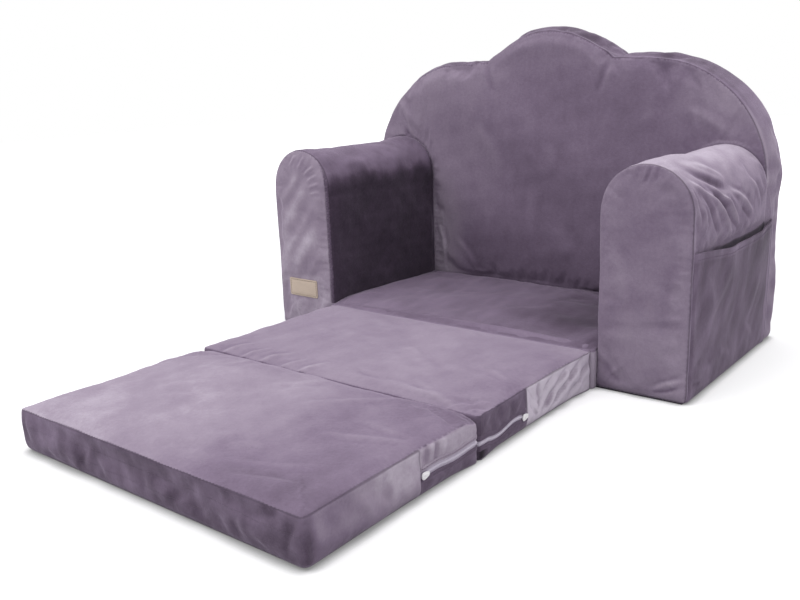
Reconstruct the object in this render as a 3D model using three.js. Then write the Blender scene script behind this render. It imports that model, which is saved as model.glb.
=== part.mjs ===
// A children's flip open sofa: foam cushions in sewn velour covers, with a two-slab mattress
// that folds out of the seat. Millimetres, +Z up, +Y towards the back.
// The origin is on the floor, under the middle of the folded sofa. The mattress is modelled folded out.
import * as THREE from "three";

// Driving dimensions of the body
const seatWidth = 504; // clear width between the arms
const armWidth = 132;
const armHeight = 323;
const bodyDepth = 378; // from the arm fronts to the rear panel
const backThickness = 75;
const backOverhang = 3; // the back is this much wider than the arms, on each side
const backHeight = 514; // crest of the middle lobe
const notchHeight = 460; // where the middle lobe meets the side lobes
const notchHalfSpan = 121; // from the centre to a notch
const sideLobeHeight = 463;
const sideLobeRadius = 201; // of the round shoulder
const backCrown = 7; // how far the backrest swells forward
const gussetDraw = 5; // how far the seams of the back's gusset are drawn in
const armCrown = 3;
const armTuckDepth = 6; // the cover is drawn in under the outer bottom edges of the arms
const armTuckHeight = 16;

// Driving dimensions of the three mattress layers
const slabHeight = 57; // at the seams
const slabCrown = 4;
const mattressMargin = 3.5; // clear space between the mattress and each arm
const middleLength = 291;
const endLength = 294;
const seatOverhang = 10; // the seat's front edge stands this far in front of the arms
const sideDraw = 2; // the sides of a slab are drawn in between its corners
const cornerRadius = 9;
const seamCornerRadius = 3; // where two slabs are sewn together
const slabTuckDepth = 2.5;
const slabTuckHeight = 6;
const rollWidth = 24; // the rolled fold of cloth along the seat's front edge
const rollSetback = 4;
const rollHeight = 2.6;
const endFrontDraw = 4; // the end slab's front edge is drawn in at its middle

// Driving dimensions of the cloth, the zips and the small parts
const cloth = 1.5;
const clearance = 0.3;
const zipTapeHeight = 12;
const zipTapeRecess = 0.7; // the tape lies this far inside the cloth's face
const coilHeight = 4;
const sliderLength = 14;
const sliderWidth = 9;
const sliderRise = 2.2; // over the coil
const middleZipHeight = 21; // height of the zip's centre line on each slab
const endZipHeight = 26;
const zipReach = 113; // how far each slab's zip runs along the slab's sides
const rearZipHeight = 46;
const rearZipMargin = 16; // the slider stops this far from the ends of the rear zip
const pocketHeight = 202;
const pocketSag = 8;
const pocketBulge = 7; // how far the pocket's mouth stands off the arm
const pocketSetback = 3; // from the arm's front seam
const flapDepth = 32; // the arm's cover reaches this far over the back's gusset
const flapBreakHeight = 196; // above this the flap's rear edge slopes forward
const flapTopDepth = 8;
const labelWidth = 68;
const labelHeight = 32;
const labelRise = 61; // from the floor to the label's lower edge
const labelInset = 26; // from the arm's outer side to the label
const labelThickness = 1.2;

// Places worked out from the driving dimensions
const yArmFront = -bodyDepth / 2;
const yRear = bodyDepth / 2;
const yBackFront = yRear - backThickness;
const ySeatSeam = yArmFront - seatOverhang; // the seam between the seat and the middle slab
const yMiddleSeam = ySeatSeam - middleLength; // the seam between the two slabs
const yEndFront = yMiddleSeam - endLength;
const seatHalf = seatWidth / 2;
const armOuter = seatHalf + armWidth;
const backHalf = armOuter + backOverhang;
const slabHalf = seatHalf - mattressMargin;
const skin = cloth + clearance; // from a cover's face to the foam
const floorSkin = skin; // what stands on a bottom panel starts here

// Shares of the sizes that they follow, chosen by hand
const ringShares = [1, 0.9, 0.7, 0.35]; // rings of points from a panel's edge to its middle
const backShares = [1, 0.8, 0.6, 0.3];
const flatShares = [1]; // a flat panel needs its edge alone
const backSwellShare = 0.88; // of the seat's width
const gussetDepthShares = [0, 0.3, 0.62, 0.85, 1];
const gussetDrawShares = [1, 0.4, 0.1, 0, 0.7];
const tuckRiseShares = [0, 0.2, 0.5, 1];
const pocketRunShares = [0, 0.08, 0.25, 0.5, 0.75, 1]; // along the pocket, from its front to the back
const pocketRiseShares = [0.2, 0.45, 0.7, 0.85, 1];
const pocketFullSagShare = 0.6;
const rollShares = [0, 0.2, 0.5, 0.8, 1]; // across the rolled fold
const rollRiseShares = [0.15, 0.8, 1, 0.8, 0.15];
const sliderShares = [0, 0.2, 0.75, 1]; // along a slider, from its wide end to its narrow one
const sliderRiseShares = [0.45, 1, 1, 0.6];
const sliderWidthShares = [1, 1, 0.8, 0.7];
const sliderTopShare = 0.7;
const backMiddleShare = 0.45; // height of the middle of the back's rings
const armMiddleShare = 0.55;
const crownPower = 2.6;
const archSteps = 14;
const lobeSteps = 8;
const dipSteps = 2;
const crestSteps = 6;
const cornerSteps = 4;
const sideSteps = 6;
const flapSteps = 5;
const labelSteps = 4;
const rollSteps = 8;

const velour = 0x8a7a90;
const velourLight = 0xa598ab;
const velourDark = 0x5f5366;
const foam = 0xe9e2cf;
const zipTape = 0xb9adc0;
const zipCoil = 0xe8e4ea;
const patch = 0xb3a79b;
const lining = 0x4a4350;

// Builds the mesh geometry of a closed solid, and turns its faces outwards.
function closedSolid(points, faces) {
  const a = new THREE.Vector3();
  let volume = 0;
  for (const [i, j, k] of faces) {
    volume += points[i].dot(a.crossVectors(points[j], points[k]));
  }
  const geometry = new THREE.BufferGeometry();
  const positions = points.flatMap((point) => point.toArray());
  geometry.setAttribute("position", new THREE.Float32BufferAttribute(positions, 3));
  geometry.setIndex(faces.flatMap(([i, j, k]) => (volume < 0 ? [i, k, j] : [i, j, k])));
  geometry.computeVertexNormals();
  return geometry;
}

// Two triangles for each cell between two rows of point numbers.
function bridge(rowA, rowB, closed) {
  const faces = [];
  const count = rowA.length;
  for (let i = 0; i < (closed ? count : count - 1); i += 1) {
    const next = (i + 1) % count;
    faces.push([rowA[i], rowA[next], rowB[next]]);
    faces.push([rowA[i], rowB[next], rowB[i]]);
  }
  return faces;
}

// A solid made of closed rings with as many points each. The first and last rings are closed by a fan.
function ringSolid(rings, firstCentre, lastCentre) {
  const points = rings.flat();
  const size = rings[0].length;
  const rows = rings.map((ring, r) => ring.map((point, i) => r * size + i));
  const faces = [];
  for (let r = 0; r + 1 < rows.length; r += 1) {
    faces.push(...bridge(rows[r], rows[r + 1], true));
  }
  const first = points.push(firstCentre) - 1;
  const last = points.push(lastCentre) - 1;
  const lastRow = rows[rows.length - 1];
  for (let i = 0; i < size; i += 1) {
    const next = (i + 1) % size;
    faces.push([first, rows[0][next], rows[0][i]]);
    faces.push([last, lastRow[i], lastRow[next]]);
  }
  return closedSolid(points, faces);
}

// A sheet of cloth between two grids of points, closed round its edges.
function sheetSolid(outer, inner) {
  const wide = outer[0].length;
  const points = [...outer.flat(), ...inner.flat()];
  const half = outer.length * wide;
  const face = outer.map((row, r) => row.map((point, i) => r * wide + i));
  const back = face.map((row) => row.map((number) => number + half));
  const faces = [];
  for (let r = 0; r + 1 < face.length; r += 1) {
    faces.push(...bridge(face[r], face[r + 1], false));
    faces.push(...bridge(back[r + 1], back[r], false));
  }
  const last = face.length - 1;
  const leftFace = face.map((row) => row[0]);
  const leftBack = back.map((row) => row[0]);
  const rightFace = face.map((row) => row[wide - 1]);
  const rightBack = back.map((row) => row[wide - 1]);
  faces.push(...bridge(back[0], face[0], false));
  faces.push(...bridge(face[last], back[last], false));
  faces.push(...bridge(leftFace, leftBack, false));
  faces.push(...bridge(rightBack, rightFace, false));
  return closedSolid(points, faces);
}

// Outward directions along a flat path of [p, q] points, to its right. Moving each point along its
// direction moves every stretch by the same distance. The ends of an open path stay in line with p or q.
function pathNormals(path, closed) {
  const count = path.length;
  const across = (i, j) => {
    const dp = path[j][0] - path[i][0];
    const dq = path[j][1] - path[i][1];
    const length = Math.hypot(dp, dq);
    return [dq / length, -dp / length];
  };
  const squared = ([p, q]) => (Math.abs(p) > Math.abs(q) ? [1 / p, 0] : [0, 1 / q]);
  return path.map((point, i) => {
    if (!closed && i === 0) return squared(across(0, 1));
    if (!closed && i === count - 1) return squared(across(count - 2, count - 1));
    const before = across((i + count - 1) % count, i);
    const after = across(i, (i + 1) % count);
    const sum = [before[0] + after[0], before[1] + after[1]];
    const scale = 2 / (sum[0] ** 2 + sum[1] ** 2);
    return [sum[0] * scale, sum[1] * scale];
  });
}

// The path moved inwards by a distance, with its corners kept sharp.
function inset(path, distance, closed) {
  const normals = pathNormals(path, closed);
  return path.map(([p, q], i) => [p - normals[i][0] * distance, q - normals[i][1] * distance]);
}

// Carries a section of [outward, along] points along an open path. The place function turns
// path and section coordinates into a point in space.
function sweepSolid(path, section, place) {
  const normals = pathNormals(path, false);
  const points = [];
  const rows = path.map(([p, q], i) => {
    const shape = typeof section === "function" ? section(i) : section;
    return shape.map(([out, along]) => {
      return points.push(place(p + normals[i][0] * out, q + normals[i][1] * out, along)) - 1;
    });
  });
  const faces = [];
  for (let r = 0; r + 1 < rows.length; r += 1) {
    faces.push(...bridge(rows[r], rows[r + 1], true));
  }
  const lastRow = rows[rows.length - 1];
  for (const [i, j, k] of capTriangles(typeof section === "function" ? section(0) : section)) {
    faces.push([rows[0][k], rows[0][j], rows[0][i]]);
    faces.push([lastRow[i], lastRow[j], lastRow[k]]);
  }
  return closedSolid(points, faces);
}

// The triangles that fill a section, each turning the way the section's own outline turns.
function capTriangles(section) {
  const contour = section.map(([out, along]) => new THREE.Vector2(out, along));
  const outlineTurn = Math.sign(THREE.ShapeUtils.area(contour));
  return THREE.ShapeUtils.triangulateShape(contour, []).map(([i, j, k]) => {
    const turn = Math.sign(THREE.ShapeUtils.area([contour[i], contour[j], contour[k]]));
    return turn === outlineTurn ? [i, j, k] : [i, k, j];
  });
}

const planView = (x, y, z) => new THREE.Vector3(x, y, z); // a path in plan, a section going up
const frontView = (x, z, y) => new THREE.Vector3(x, y, z); // a path seen from the front

// How far a cover is drawn in at a height near the floor.
function tuck(height, depth, reach) {
  if (height >= reach) return 0;
  const share = 1 - height / reach;
  return depth * (1 - Math.sqrt(1 - share * share));
}

// Rings of flat points from an outline towards its middle.
function ringsOf(outline, middle, shares) {
  return shares.map((share) =>
    outline.map(([p, q]) => [
      middle[0] + (p - middle[0]) * share,
      middle[1] + (q - middle[1]) * share,
    ]),
  );
}

// A panel of cloth over a closed outline. The raise function turns a flat point into a point in
// space, on the panel's outer face or its inner one.
function panelSolid(outline, middle, shares, raise) {
  const flat = ringsOf(outline, middle, shares);
  const outer = flat.map((ring) => ring.map((point) => raise(point, false))).reverse();
  const inner = flat.map((ring) => ring.map((point) => raise(point, true)));
  return ringSolid([...outer, ...inner], raise(middle, false), raise(middle, true));
}

const group = new THREE.Group();

function add(name, geometry, color, roughness = 0.95) {
  const mesh = new THREE.Mesh(geometry, new THREE.MeshStandardMaterial({ color, roughness }));
  mesh.name = name;
  group.add(mesh);
}

// The back: a block of foam with a scalloped top between a front panel, a gusset and a rear panel.

// The back's outline from its right bottom corner over the lobes to its left bottom corner.
function backOutline(bottom) {
  const lobeX = backHalf - sideLobeRadius;
  const lobeZ = sideLobeHeight - sideLobeRadius;
  const crestRise = backHeight - notchHeight;
  const crestRadius = (notchHalfSpan ** 2 + crestRise ** 2) / (2 * crestRise);
  const crestAngle = Math.asin(notchHalfSpan / crestRadius);
  const half = [[backHalf - tuck(bottom, armTuckDepth, armTuckHeight), bottom]];
  for (const share of tuckRiseShares) {
    const z = armTuckHeight * share;
    if (z > bottom) half.push([backHalf - tuck(z, armTuckDepth, armTuckHeight), z]);
  }
  for (let i = 0; i <= lobeSteps; i += 1) {
    const angle = ((Math.PI / 2) * i) / lobeSteps;
    half.push([lobeX + sideLobeRadius * Math.cos(angle), lobeZ + sideLobeRadius * Math.sin(angle)]);
  }
  const dip = sideLobeHeight - notchHeight;
  const run = lobeX - notchHalfSpan;
  for (let i = 1; i <= dipSteps; i += 1) {
    const share = i / dipSteps;
    half.push([lobeX - run * share, sideLobeHeight - dip * share * share]);
  }
  for (let i = 1; i <= crestSteps; i += 1) {
    const angle = crestAngle * (1 - i / crestSteps);
    half.push([
      crestRadius * Math.sin(angle),
      backHeight - crestRadius + crestRadius * Math.cos(angle),
    ]);
  }
  const left = half.slice(0, -1).reverse();
  return [...half, ...left.map(([x, z]) => [-x, z])];
}

// How far the backrest swells forward: only between the arms and above the seat.
function backSwell(x, z) {
  const low = slabHeight + slabCrown;
  const rise = (z - low) / (notchHeight - low);
  const across = Math.abs(x) / (seatHalf * backSwellShare);
  if (rise <= 0 || rise >= 1 || across >= 1) return 0;
  return backCrown * (1 - across ** 2) * Math.sin(Math.PI * rise);
}

const backMiddle = [0, backHeight * backMiddleShare];
const gussetStart = yBackFront + skin;
const gussetEnd = yRear - skin;
const gussetRun = gussetEnd - gussetStart;

// How far the gusset is drawn in at a share of its depth.
function gussetDrawAt(share) {
  let k = 1;
  while (k < gussetDepthShares.length - 1 && share > gussetDepthShares[k]) k += 1;
  const from = gussetDepthShares[k - 1];
  const mix = (share - from) / (gussetDepthShares[k] - from);
  return gussetDraw * (gussetDrawShares[k - 1] * (1 - mix) + gussetDrawShares[k] * mix);
}

function backCore() {
  const outline = backOutline(floorSkin);
  const ringAt = (share) => inset(outline, gussetDrawAt(share) + skin, false);
  const face = (x, z) => gussetStart - backSwell(x, z);
  const panel = inset(outline, gussetDrawAt(0), false);
  const front = [ringAt(0), ...ringsOf(panel, backMiddle, backShares.slice(1))];
  const swollen = front.map((ring) => ring.map(([x, z]) => frontView(x, z, face(x, z))));
  const straight = gussetDepthShares.slice(1).map((share) => {
    return ringAt(share).map(([x, z]) => frontView(x, z, gussetStart + gussetRun * share));
  });
  const [x, z] = backMiddle;
  const fromRear = [...straight.reverse(), ...swollen];
  return ringSolid(fromRear, frontView(x, z, gussetEnd), frontView(x, z, face(x, z)));
}

function backGusset() {
  const outer = gussetDepthShares.map((share) => {
    return [-gussetDrawAt(share), gussetStart + gussetRun * share];
  });
  const inner = outer.map(([out, y]) => [out - cloth, y]).reverse();
  return sweepSolid(backOutline(floorSkin), [...outer, ...inner], frontView);
}

function makeBack() {
  add("back_foam_core", backCore(), foam);
  add("back_gusset", backGusset(), velour);
  const front = inset(backOutline(floorSkin), gussetDrawAt(0), false);
  const swollen = ([x, z], inner) => {
    return frontView(x, z, yBackFront - backSwell(x, z) + (inner ? cloth : 0));
  };
  add("back_front_panel", panelSolid(front, backMiddle, backShares, swollen), velour);

  // The rear panel is in two pieces, with the cover's long zip between them.
  const reach = zipTapeHeight / 2 + clearance;
  const rear = inset(backOutline(rearZipHeight + reach), gussetDrawAt(1), false);
  const flat = ([x, z], inner) => frontView(x, z, inner ? yRear - cloth : yRear);
  add("back_rear_panel", panelSolid(rear, backMiddle, flatShares, flat), velour);
  const lower = [];
  for (const share of tuckRiseShares) {
    const z = Math.max(armTuckHeight * share, floorSkin);
    lower.push([backHalf - gussetDrawAt(1) - tuck(z, armTuckDepth, armTuckHeight), z]);
  }
  const half = backHalf - gussetDrawAt(1);
  const top = rearZipHeight - reach;
  const mirrored = [...lower].reverse().map(([x, z]) => [-x, z]);
  const outline = [...lower, [half, top], [-half, top], ...mirrored];
  const middle = [0, top / 2];
  add("back_rear_lower_panel", panelSolid(outline, middle, flatShares, flat), velour);
  const track = [
    [half, yRear],
    [-half, yRear],
  ];
  add("back_zip_chain", sweepSolid(track, zipSection(rearZipHeight), planView), zipTape);
  const start = [half - rearZipMargin, yRear];
  add("back_zip_slider", zipSlider(start, [-1, 0], rearZipHeight), zipCoil, 0.4);
}

// The zips

// The zip's two tapes with the closed coil between them, as a section round its centre line.
function zipSection(height) {
  const tape = zipTapeHeight / 2;
  const coil = coilHeight / 2;
  return [
    [-cloth, height - tape],
    [-zipTapeRecess, height - tape],
    [-zipTapeRecess, height - coil],
    [0, height - coil / 2],
    [0, height + coil / 2],
    [-zipTapeRecess, height + coil],
    [-zipTapeRecess, height + tape],
    [-cloth, height + tape],
  ];
}

// A zip slider without a pull tab. It straddles the coil on two flanges, and narrows to its tail.
function zipSlider(start, direction, height) {
  const path = sliderShares.map((share) => [
    start[0] + direction[0] * sliderLength * share,
    start[1] + direction[1] * sliderLength * share,
  ]);
  const foot = clearance - zipTapeRecess;
  const groove = coilHeight / 2 + clearance;
  const section = (i) => {
    const half = (sliderWidth / 2) * sliderWidthShares[i];
    const top = clearance + sliderRise * sliderRiseShares[i];
    return [
      [foot, height - half],
      [top, height - half * sliderTopShare],
      [top, height + half * sliderTopShare],
      [foot, height + half],
      [foot, height + groove],
      [clearance, height + groove],
      [clearance, height - groove],
      [foot, height - groove],
    ];
  };
  return sweepSolid(path, section, planView);
}

// The arms: arched blocks of foam, each with a front panel and one long panel wrapped over it.

// The arch of the right arm seen from the front, from its outer bottom edge over the top.
function armArch() {
  const radius = armWidth / 2;
  const middle = seatHalf + radius;
  const path = tuckRiseShares.map((share) => {
    const z = Math.max(armTuckHeight * share, floorSkin);
    return [armOuter - tuck(z, armTuckDepth, armTuckHeight), z];
  });
  for (let i = 0; i <= archSteps; i += 1) {
    const angle = (Math.PI * i) / archSteps;
    path.push([middle + radius * Math.cos(angle), armSpring + radius * Math.sin(angle)]);
  }
  path.push([seatHalf, floorSkin]);
  return path;
}

const armEnd = yBackFront - clearance;
const armSpring = armHeight - armWidth / 2; // where the arch starts to turn
const armMiddle = [seatHalf + armWidth / 2, armHeight * armMiddleShare];

// How far an arm's front swells at a point, from its distance to the arch.
function armSwell(x, z) {
  const radius = armWidth / 2;
  const across = Math.abs(x - armMiddle[0]);
  const round = radius - Math.hypot(across, z - armSpring);
  const edge = z > armSpring ? round : Math.min(radius - across, z);
  const share = Math.min(Math.max(1 - edge / radius, 0), 1);
  return armCrown * (1 - share ** crownPower);
}

function armCore() {
  const outline = inset(armArch(), skin, false);
  const face = (x, z) => yArmFront + skin - armSwell(x, z);
  const front = ringsOf(outline, armMiddle, ringShares);
  const swollen = front.map((ring) => ring.map(([x, z]) => frontView(x, z, face(x, z))));
  const rear = outline.map(([x, z]) => frontView(x, z, armEnd));
  const [x, z] = armMiddle;
  return ringSolid([rear, ...swollen], frontView(x, z, armEnd), frontView(x, z, face(x, z)));
}

function armWrap() {
  const start = yArmFront + skin;
  const section = [
    [0, start],
    [0, armEnd],
    [-cloth, armEnd],
    [-cloth, start],
  ];
  return sweepSolid(armArch(), section, frontView);
}

// The outer face of the arm's cover. Past the backrest's front it follows the gusset.
function armSide(y, z) {
  const share = Math.min(Math.max((y - gussetStart) / gussetRun, 0), 1);
  const overGusset = backHalf - gussetDrawAt(share) + skin;
  const straight = y <= yBackFront ? armOuter : Math.max(overGusset, armOuter);
  return straight - tuck(z, armTuckDepth, armTuckHeight);
}

// The flap that joins the arm's cover to the back, over the gusset.
function flapReach(z) {
  if (z <= flapBreakHeight) return flapDepth;
  const share = (z - flapBreakHeight) / (armSpring - flapBreakHeight);
  return flapDepth + (flapTopDepth - flapDepth) * share;
}

function floorRises() {
  return tuckRiseShares.map((share) => Math.max(armTuckHeight * share, floorSkin));
}

function sideFlap() {
  const heights = floorRises();
  for (let i = 0; i <= flapSteps; i += 1) {
    heights.push(flapBreakHeight + ((armSpring - flapBreakHeight) * i) / flapSteps);
  }
  const grid = (inner) =>
    heights.map((z) => {
      const row = [];
      for (let i = 0; i <= flapSteps; i += 1) {
        const y = yBackFront + (flapReach(z) * i) / flapSteps;
        row.push(new THREE.Vector3(armSide(y + clearance, z) - (inner ? cloth : 0), y, z));
      }
      return row;
    });
  return sheetSolid(grid(false), grid(true));
}

// The same solid on the other side of the sofa.
function mirrored(geometry) {
  const position = geometry.getAttribute("position");
  const index = geometry.getIndex().array;
  const points = [];
  for (let i = 0; i < position.count; i += 1) {
    points.push(new THREE.Vector3(-position.getX(i), position.getY(i), position.getZ(i)));
  }
  const faces = [];
  for (let i = 0; i < index.length; i += 3) faces.push([index[i], index[i + 1], index[i + 2]]);
  return closedSolid(points, faces);
}

function makeArm(name, turn) {
  const front = ([x, z], inner) => {
    return frontView(x, z, yArmFront - armSwell(x, z) + (inner ? cloth : 0));
  };
  const panel = panelSolid(armArch(), armMiddle, ringShares, front);
  add(`arm_foam_core_${name}`, turn(armCore()), foam);
  add(`arm_front_panel_${name}`, turn(panel), velour);
  add(`arm_wrap_panel_${name}`, turn(armWrap()), velour);
  add(`arm_side_flap_${name}`, turn(sideFlap()), velour);
}

// The patch pocket on the right arm's outer side is sewn down at its front, rear and bottom.
function makePocket() {
  const start = yArmFront + pocketSetback;
  const end = yBackFront + flapDepth;
  const columns = pocketRunShares.map((share) => start + (yBackFront - start) * share);
  for (let i = 1; i <= flapSteps; i += 1) columns.push(yBackFront + (flapDepth * i) / flapSteps);
  const grid = (inner) => {
    const pointAt = (y, z, mouth) => {
      const share = (y - start) / (end - start);
      const rise = (z - floorSkin) / (mouth - floorSkin);
      const bulge = pocketBulge * (1 - Math.abs(2 * share - 1) ** 4) * rise;
      return new THREE.Vector3(armSide(y + clearance, z) + clearance + bulge + (inner ? 0 : cloth), y, z);
    };
    const mouthAt = (y) => {
      const share = Math.min((y - start) / ((end - start) * pocketFullSagShare), 1);
      return pocketHeight - pocketSag * Math.sin((Math.PI / 2) * share);
    };
    const low = floorRises().map((z) => columns.map((y) => pointAt(y, z, mouthAt(y))));
    const high = pocketRiseShares.map((share) =>
      columns.map((y) => {
        const mouth = mouthAt(y);
        return pointAt(y, armTuckHeight + (mouth - armTuckHeight) * share, mouth);
      }),
    );
    return [...low, ...high];
  };
  add("pocket_panel_right", sheetSolid(grid(false), grid(true)), velour);
}

// The sewn patch on the left arm's front follows the panel's swell.
function makeLabel() {
  const right = armOuter - labelInset;
  const grid = (inner) => {
    const rows = [];
    for (let r = 0; r <= labelSteps; r += 1) {
      const row = [];
      for (let i = 0; i <= labelSteps; i += 1) {
        const x = right - (labelWidth * i) / labelSteps;
        const z = labelRise + (labelHeight * r) / labelSteps;
        const y = yArmFront - armSwell(x, z) - clearance - (inner ? 0 : labelThickness);
        row.push(new THREE.Vector3(-x, y, z));
      }
      rows.push(row);
    }
    return rows;
  };
  add("arm_label_patch", sheetSolid(grid(false), grid(true)), patch, 0.8);
}

// The mattress layers: the seat and the two slabs that fold out in front of it.

// Half of a slab's width at a place along it. Its sides are drawn in beside the zip's reach.
function slabSide(slab, y) {
  const from = slab.zipEnd < 0 ? slab.low + zipReach : slab.low;
  const to = slab.zipEnd > 0 ? slab.high - zipReach : slab.high;
  const share = Math.min(Math.max((y - from) / (to - from), 0), 1);
  return slab.half - slab.sideDraw * Math.sin(Math.PI * share) ** 2;
}

// The plan of a slab round its front end, -1, or its rear end, 1, from a reach along one side to
// the same reach along the other. The path runs anticlockwise.
function endPath(slab, end, reach, radius) {
  const edge = end < 0 ? slab.low : slab.high;
  const draw = end < 0 ? slab.frontDraw : 0;
  const right = [];
  for (let i = 0; i < sideSteps; i += 1) {
    const y = edge - end * (reach + ((radius - reach) * i) / sideSteps);
    right.push([slabSide(slab, y), y]);
  }
  const arcX = slabSide(slab, edge - end * radius) - radius;
  for (let i = 0; i <= cornerSteps; i += 1) {
    const angle = ((Math.PI / 2) * i) / cornerSteps;
    right.push([arcX + radius * Math.cos(angle), edge - end * radius * (1 - Math.sin(angle))]);
  }
  const across = [];
  for (let i = 1; i < sideSteps; i += 1) {
    const share = 1 - (2 * i) / sideSteps;
    across.push([arcX * share, edge - end * draw * (1 - share ** 2)]);
  }
  const left = [...right].reverse().map(([x, y]) => [-x, y]);
  const path = [...right, ...across, ...left];
  return end > 0 ? path : path.reverse();
}

// The whole plan of a slab, as a closed anticlockwise path.
function slabPlan(slab, frontRadius, rearRadius) {
  const reach = (slab.high - slab.low) / 2;
  const rear = endPath(slab, 1, reach, rearRadius);
  const front = endPath(slab, -1, reach, frontRadius);
  return [...rear, ...front.slice(1, -1)];
}

function slabSwell(slab, x, y) {
  const u = Math.min(Math.abs(x) / slab.half, 1);
  const middle = (slab.low + slab.high) / 2;
  const v = Math.min(Math.abs(y - middle) / ((slab.high - slab.low) / 2), 1);
  return slabCrown * (1 - u ** crownPower) * (1 - v ** crownPower);
}

function slabTop(slab, frontRadius, rearRadius) {
  const middle = [0, (slab.low + slab.high) / 2];
  const raise = ([x, y], inner) => {
    return planView(x, y, slabHeight + slabSwell(slab, x, y) - (inner ? cloth : 0));
  };
  return panelSolid(slabPlan(slab, frontRadius, rearRadius), middle, ringShares, raise);
}

function slabCore(slab) {
  const middle = [0, (slab.low + slab.high) / 2];
  const outline = slabPlan(slab, cornerRadius, cornerRadius);
  const body = inset(outline, skin, true);
  const foot = inset(outline, skin + slabTuckDepth, true);
  const flat = (ring, z) => ring.map(([x, y]) => planView(x, y, z));
  const face = (x, y) => slabHeight - skin + slabSwell(slab, x, y);
  const top = ringsOf(body, middle, ringShares).map((ring) => {
    return ring.map(([x, y]) => planView(x, y, face(x, y)));
  });
  return ringSolid(
    [flat(foot, floorSkin), flat(body, floorSkin + slabTuckHeight), ...top],
    planView(...middle, floorSkin),
    planView(...middle, face(...middle)),
  );
}

// The section of a strip of cloth round a slab's sides, drawn in near the floor.
function bandSection(low, high) {
  const bends = tuckRiseShares.map((share) => floorSkin + slabTuckHeight * share);
  const heights = [low, ...bends.filter((z) => z > low && z < high), high];
  const outer = heights.map((z) => [-tuck(z - floorSkin, slabTuckDepth, slabTuckHeight), z]);
  const inner = outer.map(([out, z]) => [out - cloth, z]).reverse();
  return [...outer, ...inner];
}

// A flat piece of cloth on the floor.
function floorPanel(outline) {
  const shape = new THREE.Shape(outline.map(([x, y]) => new THREE.Vector2(x, y)));
  return new THREE.ExtrudeGeometry(shape, { depth: cloth, bevelEnabled: false });
}

// A slab's underside: it is drawn in all round, but reaches the seam where it is sewn to the other slab.
function slabBottom(slab) {
  const sole = { ...slab, half: slab.half - slabTuckDepth, frontDraw: 0 };
  if (slab.zipEnd > 0) sole.low += slabTuckDepth + slab.frontDraw;
  else sole.high -= slabTuckDepth;
  const frontRadius = slab.zipEnd < 0 ? seamCornerRadius : cornerRadius;
  const rearRadius = slab.zipEnd > 0 ? seamCornerRadius : cornerRadius;
  return floorPanel(slabPlan(sole, frontRadius, rearRadius));
}

// A mattress slab in its own cover, with a zip round the end where the two slabs are sewn together.
function makeSlab(name, slab, zipHeight) {
  const { low, high, zipEnd } = slab;
  const top = slabHeight - skin;
  const tape = zipTapeHeight / 2 + clearance;
  add(`${name}_foam_core`, slabCore(slab), foam);
  add(`${name}_top_panel`, slabTop(slab, cornerRadius, slab.topRearRadius), velourLight);
  add(`${name}_bottom_panel`, slabBottom(slab), lining);

  const bandPath = endPath(slab, -zipEnd, high - low - zipReach - clearance, cornerRadius);
  add(`${name}_side_band`, sweepSolid(bandPath, bandSection(floorSkin, top), planView), velourLight);

  const zipPath = endPath(slab, zipEnd, zipReach, cornerRadius);
  const upper = bandSection(zipHeight + tape, top);
  const lower = bandSection(floorSkin, zipHeight - tape);
  add(`${name}_zip_upper_strip`, sweepSolid(zipPath, upper, planView), velourDark);
  add(`${name}_zip_lower_strip`, sweepSolid(zipPath, lower, planView), velourDark);
  add(`${name}_zip_chain`, sweepSolid(zipPath, zipSection(zipHeight), planView), zipTape);

  const zipStop = zipEnd < 0 ? low + zipReach - sliderLength : high - zipReach;
  add(`${name}_zip_slider`, zipSlider([slab.half, zipStop], [0, 1], zipHeight), zipCoil, 0.4);
}

// The seat is the layer that stays between the arms. A soft fold of its cover runs along its front.
function makeSeat() {
  const seat = {
    half: seatHalf - clearance,
    low: ySeatSeam + clearance / 2,
    high: yBackFront - clearance,
    zipEnd: 0,
    sideDraw: 0,
    frontDraw: 0,
  };
  add("seat_foam_core", slabCore(seat), foam);
  add("seat_top_panel", slabTop(seat, seamCornerRadius, seamCornerRadius), velour);
  const path = endPath(seat, -1, seatOverhang + cornerRadius, cornerRadius);
  const strip = bandSection(floorSkin, slabHeight - skin);
  add("seat_front_panel", sweepSolid(path, strip, planView), velour);

  const length = 2 * (seat.half - cornerRadius);
  const grid = (rise) =>
    rollShares.map((share, k) => {
      const row = [];
      const y = seat.low + rollSetback + rollWidth * share;
      for (let i = 0; i <= rollSteps; i += 1) {
        const x = length * (i / rollSteps) - length / 2;
        const z = slabHeight + slabSwell(seat, x, y) + clearance;
        row.push(new THREE.Vector3(x, y, z + rise * rollRiseShares[k]));
      }
      return row;
    });
  add("seat_front_roll", sheetSolid(grid(rollHeight), grid(0)), velourLight);
}

// One panel closes the underside of the back, the arms and the seat.
function makeBase() {
  const narrow = seatHalf - clearance - slabTuckDepth;
  const wide = armOuter - armTuckDepth;
  const right = [
    [narrow, ySeatSeam + slabTuckDepth],
    [narrow, yArmFront + skin],
    [wide, yArmFront + skin],
    [wide, yRear - skin],
  ];
  const left = [...right].reverse().map(([x, y]) => [-x, y]);
  add("base_panel", floorPanel([...right, ...left]), lining);
}

makeBack();
makeArm("right", (geometry) => geometry);
makeArm("left", mirrored);
makePocket();
makeLabel();
makeSeat();
makeBase();
makeSlab(
  "middle",
  {
    half: slabHalf,
    low: yMiddleSeam + clearance / 2,
    high: ySeatSeam - clearance / 2,
    zipEnd: -1,
    sideDraw,
    frontDraw: 0,
    topRearRadius: seamCornerRadius,
  },
  middleZipHeight,
);
makeSlab(
  "end",
  {
    half: slabHalf,
    low: yEndFront,
    high: yMiddleSeam - clearance / 2,
    zipEnd: 1,
    sideDraw,
    frontDraw: endFrontDraw,
    topRearRadius: cornerRadius,
  },
  endZipHeight,
);

export default group;
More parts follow.
